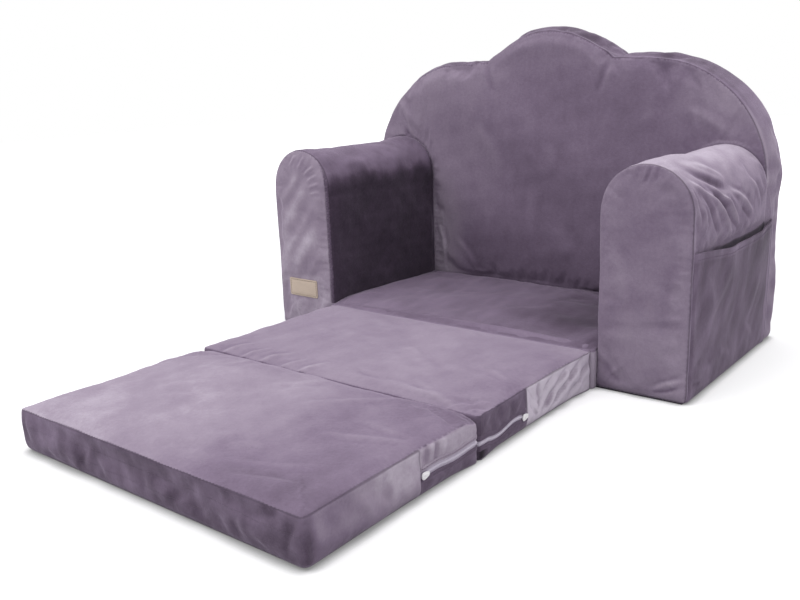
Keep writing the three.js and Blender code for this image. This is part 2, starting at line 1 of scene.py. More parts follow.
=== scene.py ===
"""A children's flip open sofa in velour, dressed over its CAD frame. Metres, +Z up, +Y towards the back."""

import math

import bmesh
import bpy
import numpy as np
from mathutils import Matrix, Vector
from mathutils.bvhtree import BVHTree
from mathutils.geometry import delaunay_2d_cdt


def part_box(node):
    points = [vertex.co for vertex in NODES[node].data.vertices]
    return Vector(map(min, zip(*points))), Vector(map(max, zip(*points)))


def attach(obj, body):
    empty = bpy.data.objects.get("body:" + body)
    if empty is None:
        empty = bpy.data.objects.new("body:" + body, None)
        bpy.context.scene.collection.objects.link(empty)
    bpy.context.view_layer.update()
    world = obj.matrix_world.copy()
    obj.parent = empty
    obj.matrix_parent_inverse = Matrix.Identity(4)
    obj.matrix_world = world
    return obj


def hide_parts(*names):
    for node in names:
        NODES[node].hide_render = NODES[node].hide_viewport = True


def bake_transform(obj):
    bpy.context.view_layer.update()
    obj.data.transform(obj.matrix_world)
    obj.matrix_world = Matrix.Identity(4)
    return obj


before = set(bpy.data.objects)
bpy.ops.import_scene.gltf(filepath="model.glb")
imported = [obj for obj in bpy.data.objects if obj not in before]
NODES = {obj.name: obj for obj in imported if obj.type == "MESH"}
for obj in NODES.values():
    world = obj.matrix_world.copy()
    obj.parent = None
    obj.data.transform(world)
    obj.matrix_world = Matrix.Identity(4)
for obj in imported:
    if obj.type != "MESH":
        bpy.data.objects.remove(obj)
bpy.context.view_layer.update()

# Sizes read from the frame

arm_low, arm_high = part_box("arm_wrap_panel_right")
gusset_low, gusset_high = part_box("back_gusset")
seat_low, seat_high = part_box("seat_top_panel")
middle_low, middle_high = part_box("middle_top_panel")
end_low, end_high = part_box("end_top_panel")
pocket_low, pocket_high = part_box("pocket_panel_right")

PANEL_RISE = 0.0018  # the back's front and rear panels stand this far off its gusset
ARM_PANEL_RISE = 0.0015
TOP_ROUNDING = 0.004  # the slabs' top seams lie this far under their highest places
Y_ARM_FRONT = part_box("arm_front_panel_right")[1].y - ARM_PANEL_RISE
Y_BACK_FRONT = gusset_low.y - PANEL_RISE
Y_REAR = gusset_high.y + PANEL_RISE
ARM_OUTER = arm_high.x
ARM_INNER = arm_low.x
ARM_TOP = arm_high.z
ARM_RADIUS = (ARM_OUTER - ARM_INNER) / 2
ARM_MIDDLE = (ARM_OUTER + ARM_INNER) / 2
ARM_SPRING = ARM_TOP - ARM_RADIUS
SEAM_TOP = middle_high.z - TOP_ROUNDING
Y_SEAT_SEAM = (seat_low.y + middle_high.y) / 2
Y_MIDDLE_SEAM = (middle_low.y + end_high.y) / 2
SLAB_HALF = middle_high.x
FLAP_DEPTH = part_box("arm_side_flap_right")[1].y - Y_BACK_FRONT

# Small helpers


def smoothstep(low, high, value):
    t = np.clip((value - low) / (high - low), 0.0, 1.0)
    return t * t * (3.0 - 2.0 * t)


def bell(offset, width):
    """1 at no offset, falling off like a bell on both sides."""
    return np.exp(-(offset / width) ** 2)


def drawn_in(height, rise):
    """The share of its depth that a round lower edge is drawn in at a height."""
    share = np.clip(1 - height / rise, 0, 1)
    return 1 - np.sqrt(1 - share ** 2)


class Wave:
    """Smooth random numbers along a line, the same ones for the same seed."""

    COUNT = 1024

    def __init__(self, seed, step):
        self.table = np.random.default_rng(seed).uniform(-1.0, 1.0, self.COUNT)
        self.step = step

    def __call__(self, t):
        u = np.asarray(t) / self.step + self.COUNT / 2
        k = np.floor(u).astype(int)
        f = smoothstep(0.0, 1.0, u - k)
        return self.table[k % self.COUNT] * (1.0 - f) + self.table[(k + 1) % self.COUNT] * f


class Field:
    """Smooth random numbers in space, from a seeded sum of waves of about one length."""

    def __init__(self, seed, length, count=14, stretch=(1.0, 1.0, 1.0)):
        rng = np.random.default_rng(seed)
        ways = rng.normal(size=(count, 3))
        ways /= np.linalg.norm(ways, axis=1)[:, None]
        sizes = 2.0 * math.pi / (length * rng.uniform(0.6, 1.6, count))
        self.ways = ways * sizes[:, None] / np.array(stretch)
        self.phases = rng.uniform(0.0, 2.0 * math.pi, count)
        self.scale = math.sqrt(2.0 / count)

    def __call__(self, points):
        return np.sin(points @ self.ways.T + self.phases).sum(1) * self.scale


def read(rows, name, width=3, kind=np.float32):
    """One property of all the points, edges or faces of a mesh."""
    flat = np.empty(len(rows) * width, kind)
    rows.foreach_get(name, flat)
    return flat.reshape(-1, width).astype(float if kind == np.float32 else kind)


def coordinates(mesh):
    return read(mesh.vertices, "co")


def normals(mesh):
    return read(mesh.vertex_normals, "vector")


def move_to(mesh, points):
    mesh.vertices.foreach_set("co", points.astype(np.float32).ravel())
    mesh.update()


def new_piece(name, vertices, faces):
    mesh = bpy.data.meshes.new(name)
    mesh.from_pydata([tuple(v) for v in vertices], [], [tuple(f) for f in faces])
    mesh.validate()
    mesh.update()
    return linked(name, mesh)


def linked(name, data):
    """A new object in the scene."""
    item = bpy.data.objects.new(name, data)
    bpy.context.scene.collection.objects.link(item)
    return item


def outward(piece):
    """Turns the faces of a closed piece outwards."""
    mesh = bmesh.new()
    mesh.from_mesh(piece.data)
    bmesh.ops.recalc_face_normals(mesh, faces=mesh.faces)
    mesh.to_mesh(piece.data)
    mesh.free()
    return piece


def tube_faces(rings, size):
    """The faces of a closed tube of rings that have the same number of points."""
    faces = []
    for start in range(0, (rings - 1) * size, size):
        for k in range(size):
            n = (k + 1) % size
            faces.append((start + k, start + n, start + size + n, start + size + k))
    return faces + [tuple(reversed(range(size))), tuple((rings - 1) * size + k for k in range(size))]


def tube(name, rings):
    """A closed piece from rings of points."""
    points = [point for ring in rings for point in ring]
    return outward(new_piece(name, points, tube_faces(len(rings), len(rings[0]))))


def tree_of(mesh):
    """A tree for finding places on a mesh."""
    return BVHTree.FromPolygons([v.co for v in mesh.vertices], [tuple(p.vertices) for p in mesh.polygons])


def shade_smooth(piece, smooth=True):
    piece.data.polygons.foreach_set("use_smooth", [smooth] * len(piece.data.polygons))
    piece.data.update()


CLOTH = {
    "quality": 4,
    "mass": 0.3,
    "tension_stiffness": 12.0,
    "compression_stiffness": 12.0,
    "shear_stiffness": 5.0,
    "bending_stiffness": 0.6,
    "use_pressure": True,
    "uniform_pressure_force": 4.0,
    "shrink_min": -0.03,  # below zero the cloth grows
    "vertex_group_mass": "held",
}
CLOTH_FRAMES = 20
HELD_BELOW = 0.0004  # points that may move less than this are held


def puffed(piece, cap):
    """Lets the cover relax over its filling as cloth. cap says how far each point may move."""
    start = coordinates(piece.data)
    limit = cap(start, *taken(piece, "first", "second"))
    held = piece.vertex_groups.new(name="held")
    held.add([int(i) for i in np.nonzero(limit < HELD_BELOW)[0]], 1.0, "REPLACE")
    cloth = piece.modifiers.new("cloth", "CLOTH")
    for name, value in CLOTH.items():
        setattr(cloth.settings, name, value)
    cloth.settings.effector_weights.gravity = 0.0
    cloth.collision_settings.use_collision = False
    scene = bpy.context.scene
    for span in (scene, cloth.point_cache):
        span.frame_start, span.frame_end = 1, CLOTH_FRAMES
    for number in range(1, CLOTH_FRAMES + 1):
        scene.frame_set(number)
    depsgraph = bpy.context.evaluated_depsgraph_get()
    shift = coordinates(piece.evaluated_get(depsgraph).data) - start
    piece.modifiers.clear()
    piece.vertex_groups.clear()
    scene.frame_set(1)
    share = np.minimum(1.0, limit / np.maximum(np.linalg.norm(shift, axis=1), 1e-9))
    move_to(piece.data, start + shift * share[:, None])


def subdivided(piece):
    piece.modifiers.new("subdivide", "SUBSURF").levels = 1
    depsgraph = bpy.context.evaluated_depsgraph_get()
    coarse = piece.data
    fine = bpy.data.meshes.new_from_object(piece.evaluated_get(depsgraph))
    piece.modifiers.clear()
    piece.data = fine
    bpy.data.meshes.remove(coarse)
    fine.name = piece.name


def relaxed(piece, cap):
    """Relaxes a cushion's cover and makes it finer. Returns each point's distances inside the first
    and the second panel's seam and its place along them."""
    puffed(piece, cap)
    subdivided(piece)
    return taken(piece, "first", "second", "run")


FACING = {"top": (2, 1), "right": (0, 1), "left": (0, -1), "front": (1, -1), "rear": (1, 1)}
FOLD_BEND = 0.036  # of the fold's length
CREASE_PLACE, CREASE_SHARE = 1.7, 0.45  # beside each fold, of its half width and its rise
MM = 0.001


def folds_on(face, *rows):
    """Folds of one face from rows in millimetres: the start and the end, in the two directions of
    the face, the half width and the rise."""
    return [(face, np.array(row) * MM) for row in rows]


def fold_depths(points, around, folds):
    """How far folds lift each point."""
    total = np.zeros(len(points))
    for face, (*ends, width, rise) in folds:
        axis, sign = FACING[face]
        start, end = np.array(ends[:2]), np.array(ends[2:])
        length = np.linalg.norm(end - start)
        way = (end - start) / length
        off = np.delete(points, axis, 1) - start
        along = off @ way / length
        bend = math.copysign(FOLD_BEND, rise) * length * np.sin(np.clip(along, 0, 1) * math.pi)
        across = (off @ np.array([-way[1], way[0]]) - bend) / width
        share = smoothstep(-0.05, 0.3, along) * (1.0 - smoothstep(0.7, 1.05, along))
        share *= smoothstep(0.25, 0.75, around[:, axis] * sign)
        total += share * rise * (bell(across, 1) - CREASE_SHARE * bell(across - CREASE_PLACE, 1))
    return total


# LIGHT_WAY points to the key lamp: the tone is painted lighter where a normal turns towards it and darker
# where it turns away
LIGHT_WAY = np.array([-0.45, -0.45, 0.77])
PAINTED_LIGHT_SHARE, PAINTED_LIGHT_LIMIT = 0.24, 0.5
FOLD_SHADE = 42.0  # painted highlight on a fold's ridge and painted shade in its crease, of tone for each metre that a fold rises or sinks
SHADE_LIMITS = (-0.004, 0.003)


def displaced(piece, depth, folds):
    """Moves each point along its normal. Returns the new points and normals and the painted light and
    shade there: a painted highlight on a fold's flank that turns to the lamp and on its ridge, painted
    shade in a crease."""
    points, around = coordinates(piece.data), normals(piece.data)
    shade = FOLD_SHADE * np.clip(fold_depths(points, around, folds), *SHADE_LIMITS)
    move_to(piece.data, points + around * depth(points, around)[:, None])
    turned = normals(piece.data)
    painted_light = np.clip((turned - around) @ LIGHT_WAY, -PAINTED_LIGHT_LIMIT, PAINTED_LIGHT_LIMIT)
    return coordinates(piece.data), turned, PAINTED_LIGHT_SHARE * painted_light + shade


def give(piece, name, values, domain="POINT"):
    layer = piece.data.attributes.new(name, "FLOAT", domain)
    layer.data.foreach_set("value", np.asarray(values, np.float32))


def nearest(*fields):
    """The signed distance to the nearest of several seams."""
    stack = np.stack(fields)
    return stack[np.abs(stack).argmin(0), np.arange(stack.shape[1])]


# Materials


def srgb(red, green, blue):
    def linear(c):
        c /= 255.0
        return c / 12.92 if c <= 0.04045 else ((c + 0.055) / 1.055) ** 2.4
    return (linear(red), linear(green), linear(blue), 1.0)


class Nodes:
    """Adds shader nodes to a material or a world with short calls."""

    def __init__(self, owner, shader="Principled BSDF"):
        owner.use_nodes = True
        self.tree = owner.node_tree
        self.shader = self.tree.nodes[shader]

    def add(self, kind, **sockets):
        return self.set(self.tree.nodes.new("ShaderNode" + kind), **sockets)

    def set(self, node, **sockets):
        """Sets or links sockets, named with _ for a space or by _ and their number."""
        for name, value in sockets.items():
            socket = node.inputs[int(name[1:]) if name[0] == "_" else name.replace("_", " ")]
            if isinstance(value, bpy.types.NodeSocket):
                self.tree.links.new(value, socket)
            else:
                socket.default_value = value
        return node

    def math(self, operation, a, b=0.0, clamp=False):
        node = self.add("Math", _0=a, _1=b)
        node.operation = operation
        node.use_clamp = clamp
        return node.outputs[0]

    def total(self, value, *parts):
        """A value with others added, each times its share."""
        for part, share in parts:
            value = self.math("ADD", value, self.math("MULTIPLY", part, share))
        return value

    def ranged(self, value, source, target, kind="LINEAR"):
        """A value taken from one range to another."""
        node = self.add("MapRange", Value=value, From_Min=source[0], From_Max=source[1],
                        To_Min=target[0], To_Max=target[1])
        node.interpolation_type = kind
        return node.outputs[0]

    def noise(self, place, scale, detail=3.0, roughness=0.5, distortion=0.0):
        node = self.add("TexNoise", Vector=place, Scale=scale, Detail=detail,
                        Roughness=roughness, Distortion=distortion)
        return node.outputs["Fac"]

    def uneven(self, *noise):
        """Noise about zero."""
        return self.math("SUBTRACT", self.noise(*noise), 0.5)

    def place(self, scale=(1.0, 1.0, 1.0), turn=(0.0, 0.0, 0.0)):
        coords = self.add("TexCoord").outputs["Object"]
        return self.add("Mapping", Vector=coords, Scale=scale, Rotation=turn).outputs[0]

    def attribute(self, name):
        node = self.add("Attribute")
        node.attribute_name = name
        return node.outputs["Fac"]

    def ramp(self, value, stops):
        node = self.add("ValToRGB", Fac=value)
        while len(node.color_ramp.elements) < len(stops):
            node.color_ramp.elements.new(0.5)
        for element, (position, color) in zip(node.color_ramp.elements, stops):
            element.position = position
            element.color = color
        return node.outputs["Color"]

    def blend(self, share, a, b, mode="MIX"):
        node = self.add("Mix")
        node.data_type = "RGBA"
        node.blend_type = mode
        return self.set(node, _0=share, _6=a, _7=b).outputs[2]

    def relief(self, height, strength):
        return self.add("Bump", Strength=strength, Distance=1.0, Height=height).outputs[0]

    def seen(self):
        """1 for light that reaches the camera straight, by a mirror or through glass, else 0."""
        path = self.add("LightPath").outputs
        straight = self.math("ADD", path["Is Camera Ray"], path["Is Glossy Ray"])
        return self.math("ADD", straight, path["Is Transmission Ray"], clamp=True)


def new_material(name):
    material = bpy.data.materials.new(name)
    return material, Nodes(material)


VELOUR_STOPS = [
    (0.0, srgb(36, 30, 38)),
    (0.25, srgb(84, 71, 88)),
    (0.5, srgb(124, 109, 130)),
    (0.75, srgb(156, 143, 160)),
    (1.0, srgb(202, 192, 206)),
]


SEAM_GROOVE = 0.0026  # painted shade darkens the velour this close to a seam


def velour_material(name):
    """Short pile that lies in patches: the tone attribute holds each panel's nap and painted light and
    shade, noise breaks it up.
    """
    material, n = new_material(name)
    place = n.place()
    streaks = n.place(scale=(1.0, 1.0, 0.35), turn=(0.3, 0.5, 0.2))
    broad = n.uneven(place, 7.0, 3.0, 0.55, 0.4)
    patches = n.uneven(streaks, 30.0, 4.0, 0.6, 0.8)
    crushed = n.uneven(place, 190.0, 3.0, 0.65, 0.3)
    fibres = n.uneven(place, 900.0, 2.0, 0.7)
    tone = n.total(n.attribute("tone"), (broad, 0.12), (patches, 0.13), (crushed, 0.14), (fibres, 0.12))
    seam = n.math("ABSOLUTE", n.attribute("seam"))
    groove = n.ranged(seam, (0.0, SEAM_GROOVE), (0.0, 1.0), "SMOOTHERSTEP")
    color = n.ramp(n.math("ADD", tone, 0.0, clamp=True), VELOUR_STOPS)
    # painted shade: the base colour is darkened in the seams' grooves
    shade = n.total(0.66, (groove, 0.34))
    height = n.total(0.0, (fibres, 0.00035), (crushed, 0.0007), (patches, 0.0009), (groove, 0.0010))
    rough = n.math("ADD", n.math("MULTIPLY", patches, 0.25), 0.86, clamp=True)
    n.set(n.shader, Base_Color=n.blend(1.0, color, shade, "MULTIPLY"), Roughness=rough,
          Specular_IOR_Level=0.12, Sheen_Weight=0.55, Sheen_Roughness=0.42,
          Sheen_Tint=srgb(205, 192, 212), Normal=n.relief(height, 0.7))
    return material


def woven_material(name, color, edge, scale=700.0, roughness=0.8):
    """A plain woven tape or lining."""
    material, n = new_material(name)
    place = n.place()
    waves = []
    for direction in ("X", "Z"):
        wave = n.add("TexWave", Vector=place, Scale=scale, Distortion=0.6)
        wave.bands_direction = direction
        waves.append(wave.outputs["Fac"])
    weave = n.math("MULTIPLY", *waves)
    share = n.total(0.0, (weave, 0.5), (n.noise(place, 40.0), 0.5))
    height = n.math("MULTIPLY", weave, 0.0002)
    n.set(n.shader, Base_Color=n.blend(share, edge, color), Roughness=roughness,
          Specular_IOR_Level=0.2, Normal=n.relief(height, 0.6))
    return material


def smooth_material(name, color, worn, roughness):
    """Moulded plastic or lacquered metal with faint wear."""
    material, n = new_material(name)
    place = n.place()
    cloud = n.noise(place, 260.0, 4.0, 0.6)
    height = n.math("MULTIPLY", n.noise(place, 1500.0, 2.0), 0.00004)
    n.set(n.shader, Base_Color=n.blend(cloud, worn, color), Roughness=n.total(roughness, (cloud, 0.2)),
          Normal=n.relief(height, 0.5))
    return material


VELOUR = velour_material("velour")
LINING = woven_material("lining", srgb(70, 62, 74), srgb(48, 42, 52), 500.0)
TAPE = woven_material("zip_tape", srgb(208, 198, 214), srgb(172, 161, 181), 900.0)
COIL = smooth_material("zip_coil", srgb(216, 208, 222), srgb(190, 180, 200), 0.35)
SLIDER = smooth_material("zip_slider", srgb(252, 250, 252), srgb(228, 224, 229), 0.28)
LABEL = woven_material("label_patch", srgb(222, 204, 188), srgb(192, 175, 160), 420.0, 0.7)
PATCH_THREAD = woven_material("patch_thread", srgb(150, 134, 118), srgb(118, 104, 92), 1500.0)
THREAD = woven_material("thread", srgb(120, 104, 126), srgb(90, 76, 96), 1500.0)


def dress(piece, slot, body, *materials, stands_for=()):
    """Gives a piece its materials, the body that it rides on and the nodes it stands for. Its slot is not
    used.
    """
    piece.data.materials.clear()
    for material in materials:
        piece.data.materials.append(material)
    shade_smooth(piece)
    if body:
        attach(piece, body)
    if stands_for:
        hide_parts(*stands_for)


def line_underside(piece, height):
    """Faces that lie on the floor show the lining."""
    faces = piece.data.polygons
    low = (read(faces, "center")[:, 2] < height) & (read(faces, "normal")[:, 2] < -0.9)
    faces.foreach_set("material_index", low.astype(np.int32))


# Cushions

STEP = 0.0052  # between the points of a cushion
SLAB_UNDER_STEP, HIDDEN_STEP = 0.012, 0.014  # on panels that are hardly seen


def polygon_depth(points, ring):
    """The distance from flat points to a closed outline, positive inside."""
    best = np.full(len(points), 1e9)
    inside = np.zeros(len(points), bool)
    for a, b in zip(ring, np.roll(ring, -1, 0)):
        way = b - a
        length = max(way @ way, 1e-12)
        t = np.clip((points - a) @ way / length, 0.0, 1.0)
        off = points - a - t[:, None] * way
        best = np.minimum(best, np.einsum("ij,ij->i", off, off))
        crosses = (a[1] > points[:, 1]) != (b[1] > points[:, 1])
        if b[1] != a[1]:
            at = (b[0] - a[0]) * (points[:, 1] - a[1]) / (b[1] - a[1]) + a[0]
            inside ^= crosses & (points[:, 0] < at)
    return np.sqrt(best) * np.where(inside, 1.0, -1.0)


def even_path(points, step):
    """An open path with points at even distances. Its first and last points stay."""
    points = np.array(points, float)
    runs = np.r_[0.0, np.cumsum(np.linalg.norm(np.diff(points, axis=0), axis=1))]
    count = max(2, int(round(runs[-1] / step)) + 1)
    at = np.linspace(0.0, runs[-1], count)
    return np.stack([np.interp(at, runs, points[:, k]) for k in (0, 1)], 1)


def even_ring(stretches, step):
    """A closed outline from stretches that meet at sharp corners."""
    return np.concatenate([even_path(stretch, step)[:-1] for stretch in stretches])


def nearest_points(flat, ring):
    """The number of the outline's point that is nearest to each flat point."""
    parts = np.array_split(flat, len(flat) // 2000 + 1)
    return np.concatenate([((part[:, None] - ring) ** 2).sum(2).argmin(1) for part in parts])


def arc(middle, radius, start, end, steps=24):
    turns = np.linspace(start, end, steps + 1)
    return [(middle[0] + radius * math.cos(t), middle[1] + radius * math.sin(t)) for t in turns]


def filled(ring, step, seed):
    """Triangles that fill an outline. The outline's points come first."""
    rng = np.random.default_rng(seed)
    low, high = ring.min(0), ring.max(0)
    across = np.arange(low[0], high[0] + step, step)
    rows = []
    for k, v in enumerate(np.arange(low[1], high[1] + step, step * math.sqrt(0.75))):
        rows.append(np.stack([across + step / 2 * (k % 2), np.full(len(across), v)], 1))
    grid = np.concatenate(rows)
    grid += rng.uniform(-0.12, 0.12, grid.shape) * step
    grid = grid[polygon_depth(grid, ring) > 0.6 * step]
    points = np.concatenate([ring, grid])
    edges = [(k, (k + 1) % len(ring)) for k in range(len(ring))]
    out = delaunay_2d_cdt([Vector(p) for p in points], edges, [], 1, 1e-8)
    origin = [ids[0] for ids in out[3]]
    return points, [tuple(origin[k] for k in face) for face in out[2]]


def cushion(name, ring, depth, steps, place, creases=None):
    """A closed cover of two panels and the band between them. steps are the point distances on the
    first panel, along the band and on the second panel. place turns flat points, how far each is
    along the band and how deep inside the outline into points in space."""
    first, first_faces = filled(ring, steps[0], 5)
    second, second_faces = filled(ring, steps[2], 6)
    size = len(ring)
    rows = max(2, int(round(depth / steps[1])))
    flat = [first] + [ring] * (rows - 1) + [second]
    counts = [len(part) for part in flat]
    level = np.repeat(np.arange(rows + 1) * depth / rows, counts)
    *starts, total = np.r_[0, np.cumsum(counts)]
    flat = np.concatenate(flat)
    inside = np.zeros(total)
    for start, points in ((0, first), (starts[-1], second)):
        inside[start + size : start + len(points)] = np.maximum(polygon_depth(points[size:], ring), 0.0)
    points = place(flat, level, inside)
    faces = first_faces + [tuple(k + starts[-1] for k in reversed(face)) for face in second_faces]
    for a, b in zip(starts[:-1], starts[1:]):
        for k in range(size):
            n = (k + 1) % size
            faces.append((a + k, b + k, b + n, a + n))
    piece = outward(new_piece(name, points, faces))
    pairs = read(piece.data.edges, "vertices", 2, np.int32)
    sharp = np.zeros(len(pairs))
    for row in (starts[0], starts[-1]):
        sharp[((pairs >= row) & (pairs < row + size)).all(1)] = 1.0
    if creases is not None:
        sharp *= creases(points[pairs].mean(1))
    give(piece, "crease_edge", sharp, "EDGE")
    on_first, on_second = np.arange(total) < starts[1], np.arange(total) >= starts[-1]
    give(piece, "first", np.where(on_second, -depth - inside, np.where(on_first, inside, -level)))
    give(piece, "second", np.where(on_first, -depth - inside, np.where(on_second, inside, level - depth)))
    lengths = np.linalg.norm(np.roll(ring, -1, 0) - ring, axis=1)
    give(piece, "run", np.r_[0.0, np.cumsum(lengths)[:-1]][nearest_points(flat, ring)])
    return piece


def taken(piece, *names):
    """The values of a piece's attributes."""
    return [read(piece.data.attributes[name].data, "value", 1).ravel() for name in names]


def slack(size, distance, reach=0.02, at_seam=0.15):
    """How far a cover may move: a share of the size at its seam, all of it beyond the reach."""
    return size * (at_seam + (1 - at_seam) * smoothstep(0.0, reach, distance))


def off_floor(height):
    """0 at the floor, which keeps a cushion's shape, and 1 a little above it."""
    return smoothstep(0.002, 0.02, height)


CALM = 0.03  # nearer to a seam than this the filling shows less


def waves(points, *parts):
    """How unevenly a cushion is filled: waves, each with its height, its seed and its length."""
    return sum(height * Field(seed, length)(points) for height, seed, length in parts)


SEAM_SINK, SEAM_SINK_REACH = 0.0010, 0.0022


def seam_pull(away, run, seeds, heights, lengths=(0.010, 0.034), reaches=(0.014, 0.045), start=0.004):
    """How far the cover is drawn in along its seams, with puckers and longer wrinkles beside them.
    Both have a seed, a height, a length along the seam and a reach. The puckers have a start too."""
    puckers, wrinkles = (height * Wave(seed, length)(run) * np.exp(-away / reach)
                         for seed, height, length, reach in zip(seeds, heights, lengths, reaches))
    return puckers * (1 - bell(away, start)) + wrinkles - SEAM_SINK * bell(away, SEAM_SINK_REACH)


def away_from_hinge(points):
    """0 at the seam between the seat and the middle slab, where the covers are one piece of cloth."""
    return smoothstep(0.003, 0.012, np.abs(points[:, 1] - Y_SEAT_SEAM))


NO_SEAM = 0.02  # a distance at which no groove and no painted seam shade show


def finished(piece, seam, tone, stands_for, body="sofa_body", sole=0.004):
    """Ends a cushion: its seams and tones, its materials and what it is. Below the height of its
    sole it shows the lining."""
    for name in ("first", "second", "run"):
        piece.data.attributes.remove(piece.data.attributes[name])
    give(piece, "seam", seam)
    give(piece, "tone", tone)
    dress(piece, "velour", body, VELOUR, LINING, stands_for=stands_for)
    line_underside(piece, sole)
    return piece


# The tone functions give each facing its own tone: partly the pile's nap, partly painted light and shade by
# how a face turns to the lamps.
def side_mix(around):
    """Shares of top, front, rear, right and left in the direction that a point faces."""
    square = around ** 2
    down, up = around < 0, around > 0
    return (square[:, 2], square[:, 1] * down[:, 1], square[:, 1] * up[:, 1],
            square[:, 0] * up[:, 0], square[:, 0] * down[:, 0])


# The two slabs and the seat

CORNER, JOINED_CORNER, HINGE_CORNER = 0.006, 0.005, 0.0025
CORNER_SINK, CORNER_SINK_REACH, CORNER_SINK_DEPTH = 0.007, 0.032, 0.026  # at the rear corners
TUCK_DEPTH, TUCK_RISE, TUCK_START = 0.0055, 0.014, 0.0004
TUCK_FREE = 0.05  # this far from a hinge the lower edge is drawn in fully
CROWN, CROWN_POWER = 0.0035, 2.6
FLOOR_GAP, BACK_FLOOR_GAP = 0.0003, 0.0004
SIDE_DRAW = 0.0012  # the middle of a slab's side is drawn in this far
SOLE = 0.001
SLAB_SLACK, SLAB_SIDE_SLACK, SEAT_SLACK = 0.0042, 0.0030, 0.0040
HELD_BY_ZIP, HELD_BY_JOINT = 0.010, 0.004
ZIP_GROOVE = 0.0016
HINGE_REACH = 0.006  # beside a hinge's seam the two covers are one cloth, without a groove


def slab_ring(low_y, high_y, half, front_radius, rear_radius, draw):
    """A slab's plan, anticlockwise from the front of its right side."""
    def corner(side, y, radius, turn):
        return arc((side * (half - radius), y), radius, turn, turn + math.pi / 2, 8)

    front, rear = low_y + front_radius, high_y - rear_radius
    ys = np.linspace(front, rear, 40)
    xs = half - draw * np.sin(math.pi * (ys - low_y) / (high_y - low_y)) ** 2
    right = list(zip(xs, ys))
    left = [(-x, y) for x, y in reversed(right)]
    path = right + corner(1, rear, rear_radius, 0)[1:] + corner(-1, rear, rear_radius, math.pi / 2)
    path += left[1:] + corner(-1, front, front_radius, math.pi)[1:]
    path += corner(1, front, front_radius, 1.5 * math.pi)
    return even_ring([path + [path[0]]], STEP)


def slab_placer(low_y, high_y, half):
    """Places a slab's points: its top panel is crowned and its lower edges are drawn in."""
    middle = np.array([0.0, (low_y + high_y) / 2])
    size = np.array([half, (high_y - low_y) / 2])

    def place(flat, level, inside):
        z = SEAM_TOP - level
        from_hinge = np.minimum(np.abs(flat[:, 1] - Y_SEAT_SEAM), np.abs(flat[:, 1] - Y_MIDDLE_SEAM))
        tuck = TUCK_DEPTH * drawn_in(z - TUCK_START, TUCK_RISE) * smoothstep(0.0, TUCK_FREE, from_hinge)
        off = (flat - middle) * (1 - tuck[:, None] / size)
        crown = CROWN * (1 - np.clip(np.abs(off) / size, 0, 1) ** CROWN_POWER).prod(1)
        z = np.maximum(z + np.where(level <= 0, crown, 0.0), FLOOR_GAP)
        return np.column_stack([middle + off, z])
    return place


SLIDER_TRAVEL = 0.086  # the zip line meets the slider's straight way at both ends of its travel
ZIP_SWING = {"end": 0.0012, "middle": 0.0030}


def zip_line(name):
    """The height of a slab's zip: straight but for a slow wave beside the slider's way."""
    slide_low, slide_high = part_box(f"{name}_zip_slider")
    height = (slide_low.z + slide_high.z) / 2
    start = (slide_low.y + slide_high.y) / 2

    def at(x, y):
        along = np.abs(np.asarray(y) - start) / SLIDER_TRAVEL
        wave = np.sin(2 * math.pi * along) * smoothstep(0.0, 0.06, along) * smoothstep(1.0, 0.94, along)
        return height + np.where(np.asarray(x) > 0, ZIP_SWING[name] * wave, 0.0)
    return at


SLAB_PARTS = ("foam_core", "top_panel", "side_band", "bottom_panel", "zip_upper_strip", "zip_lower_strip")


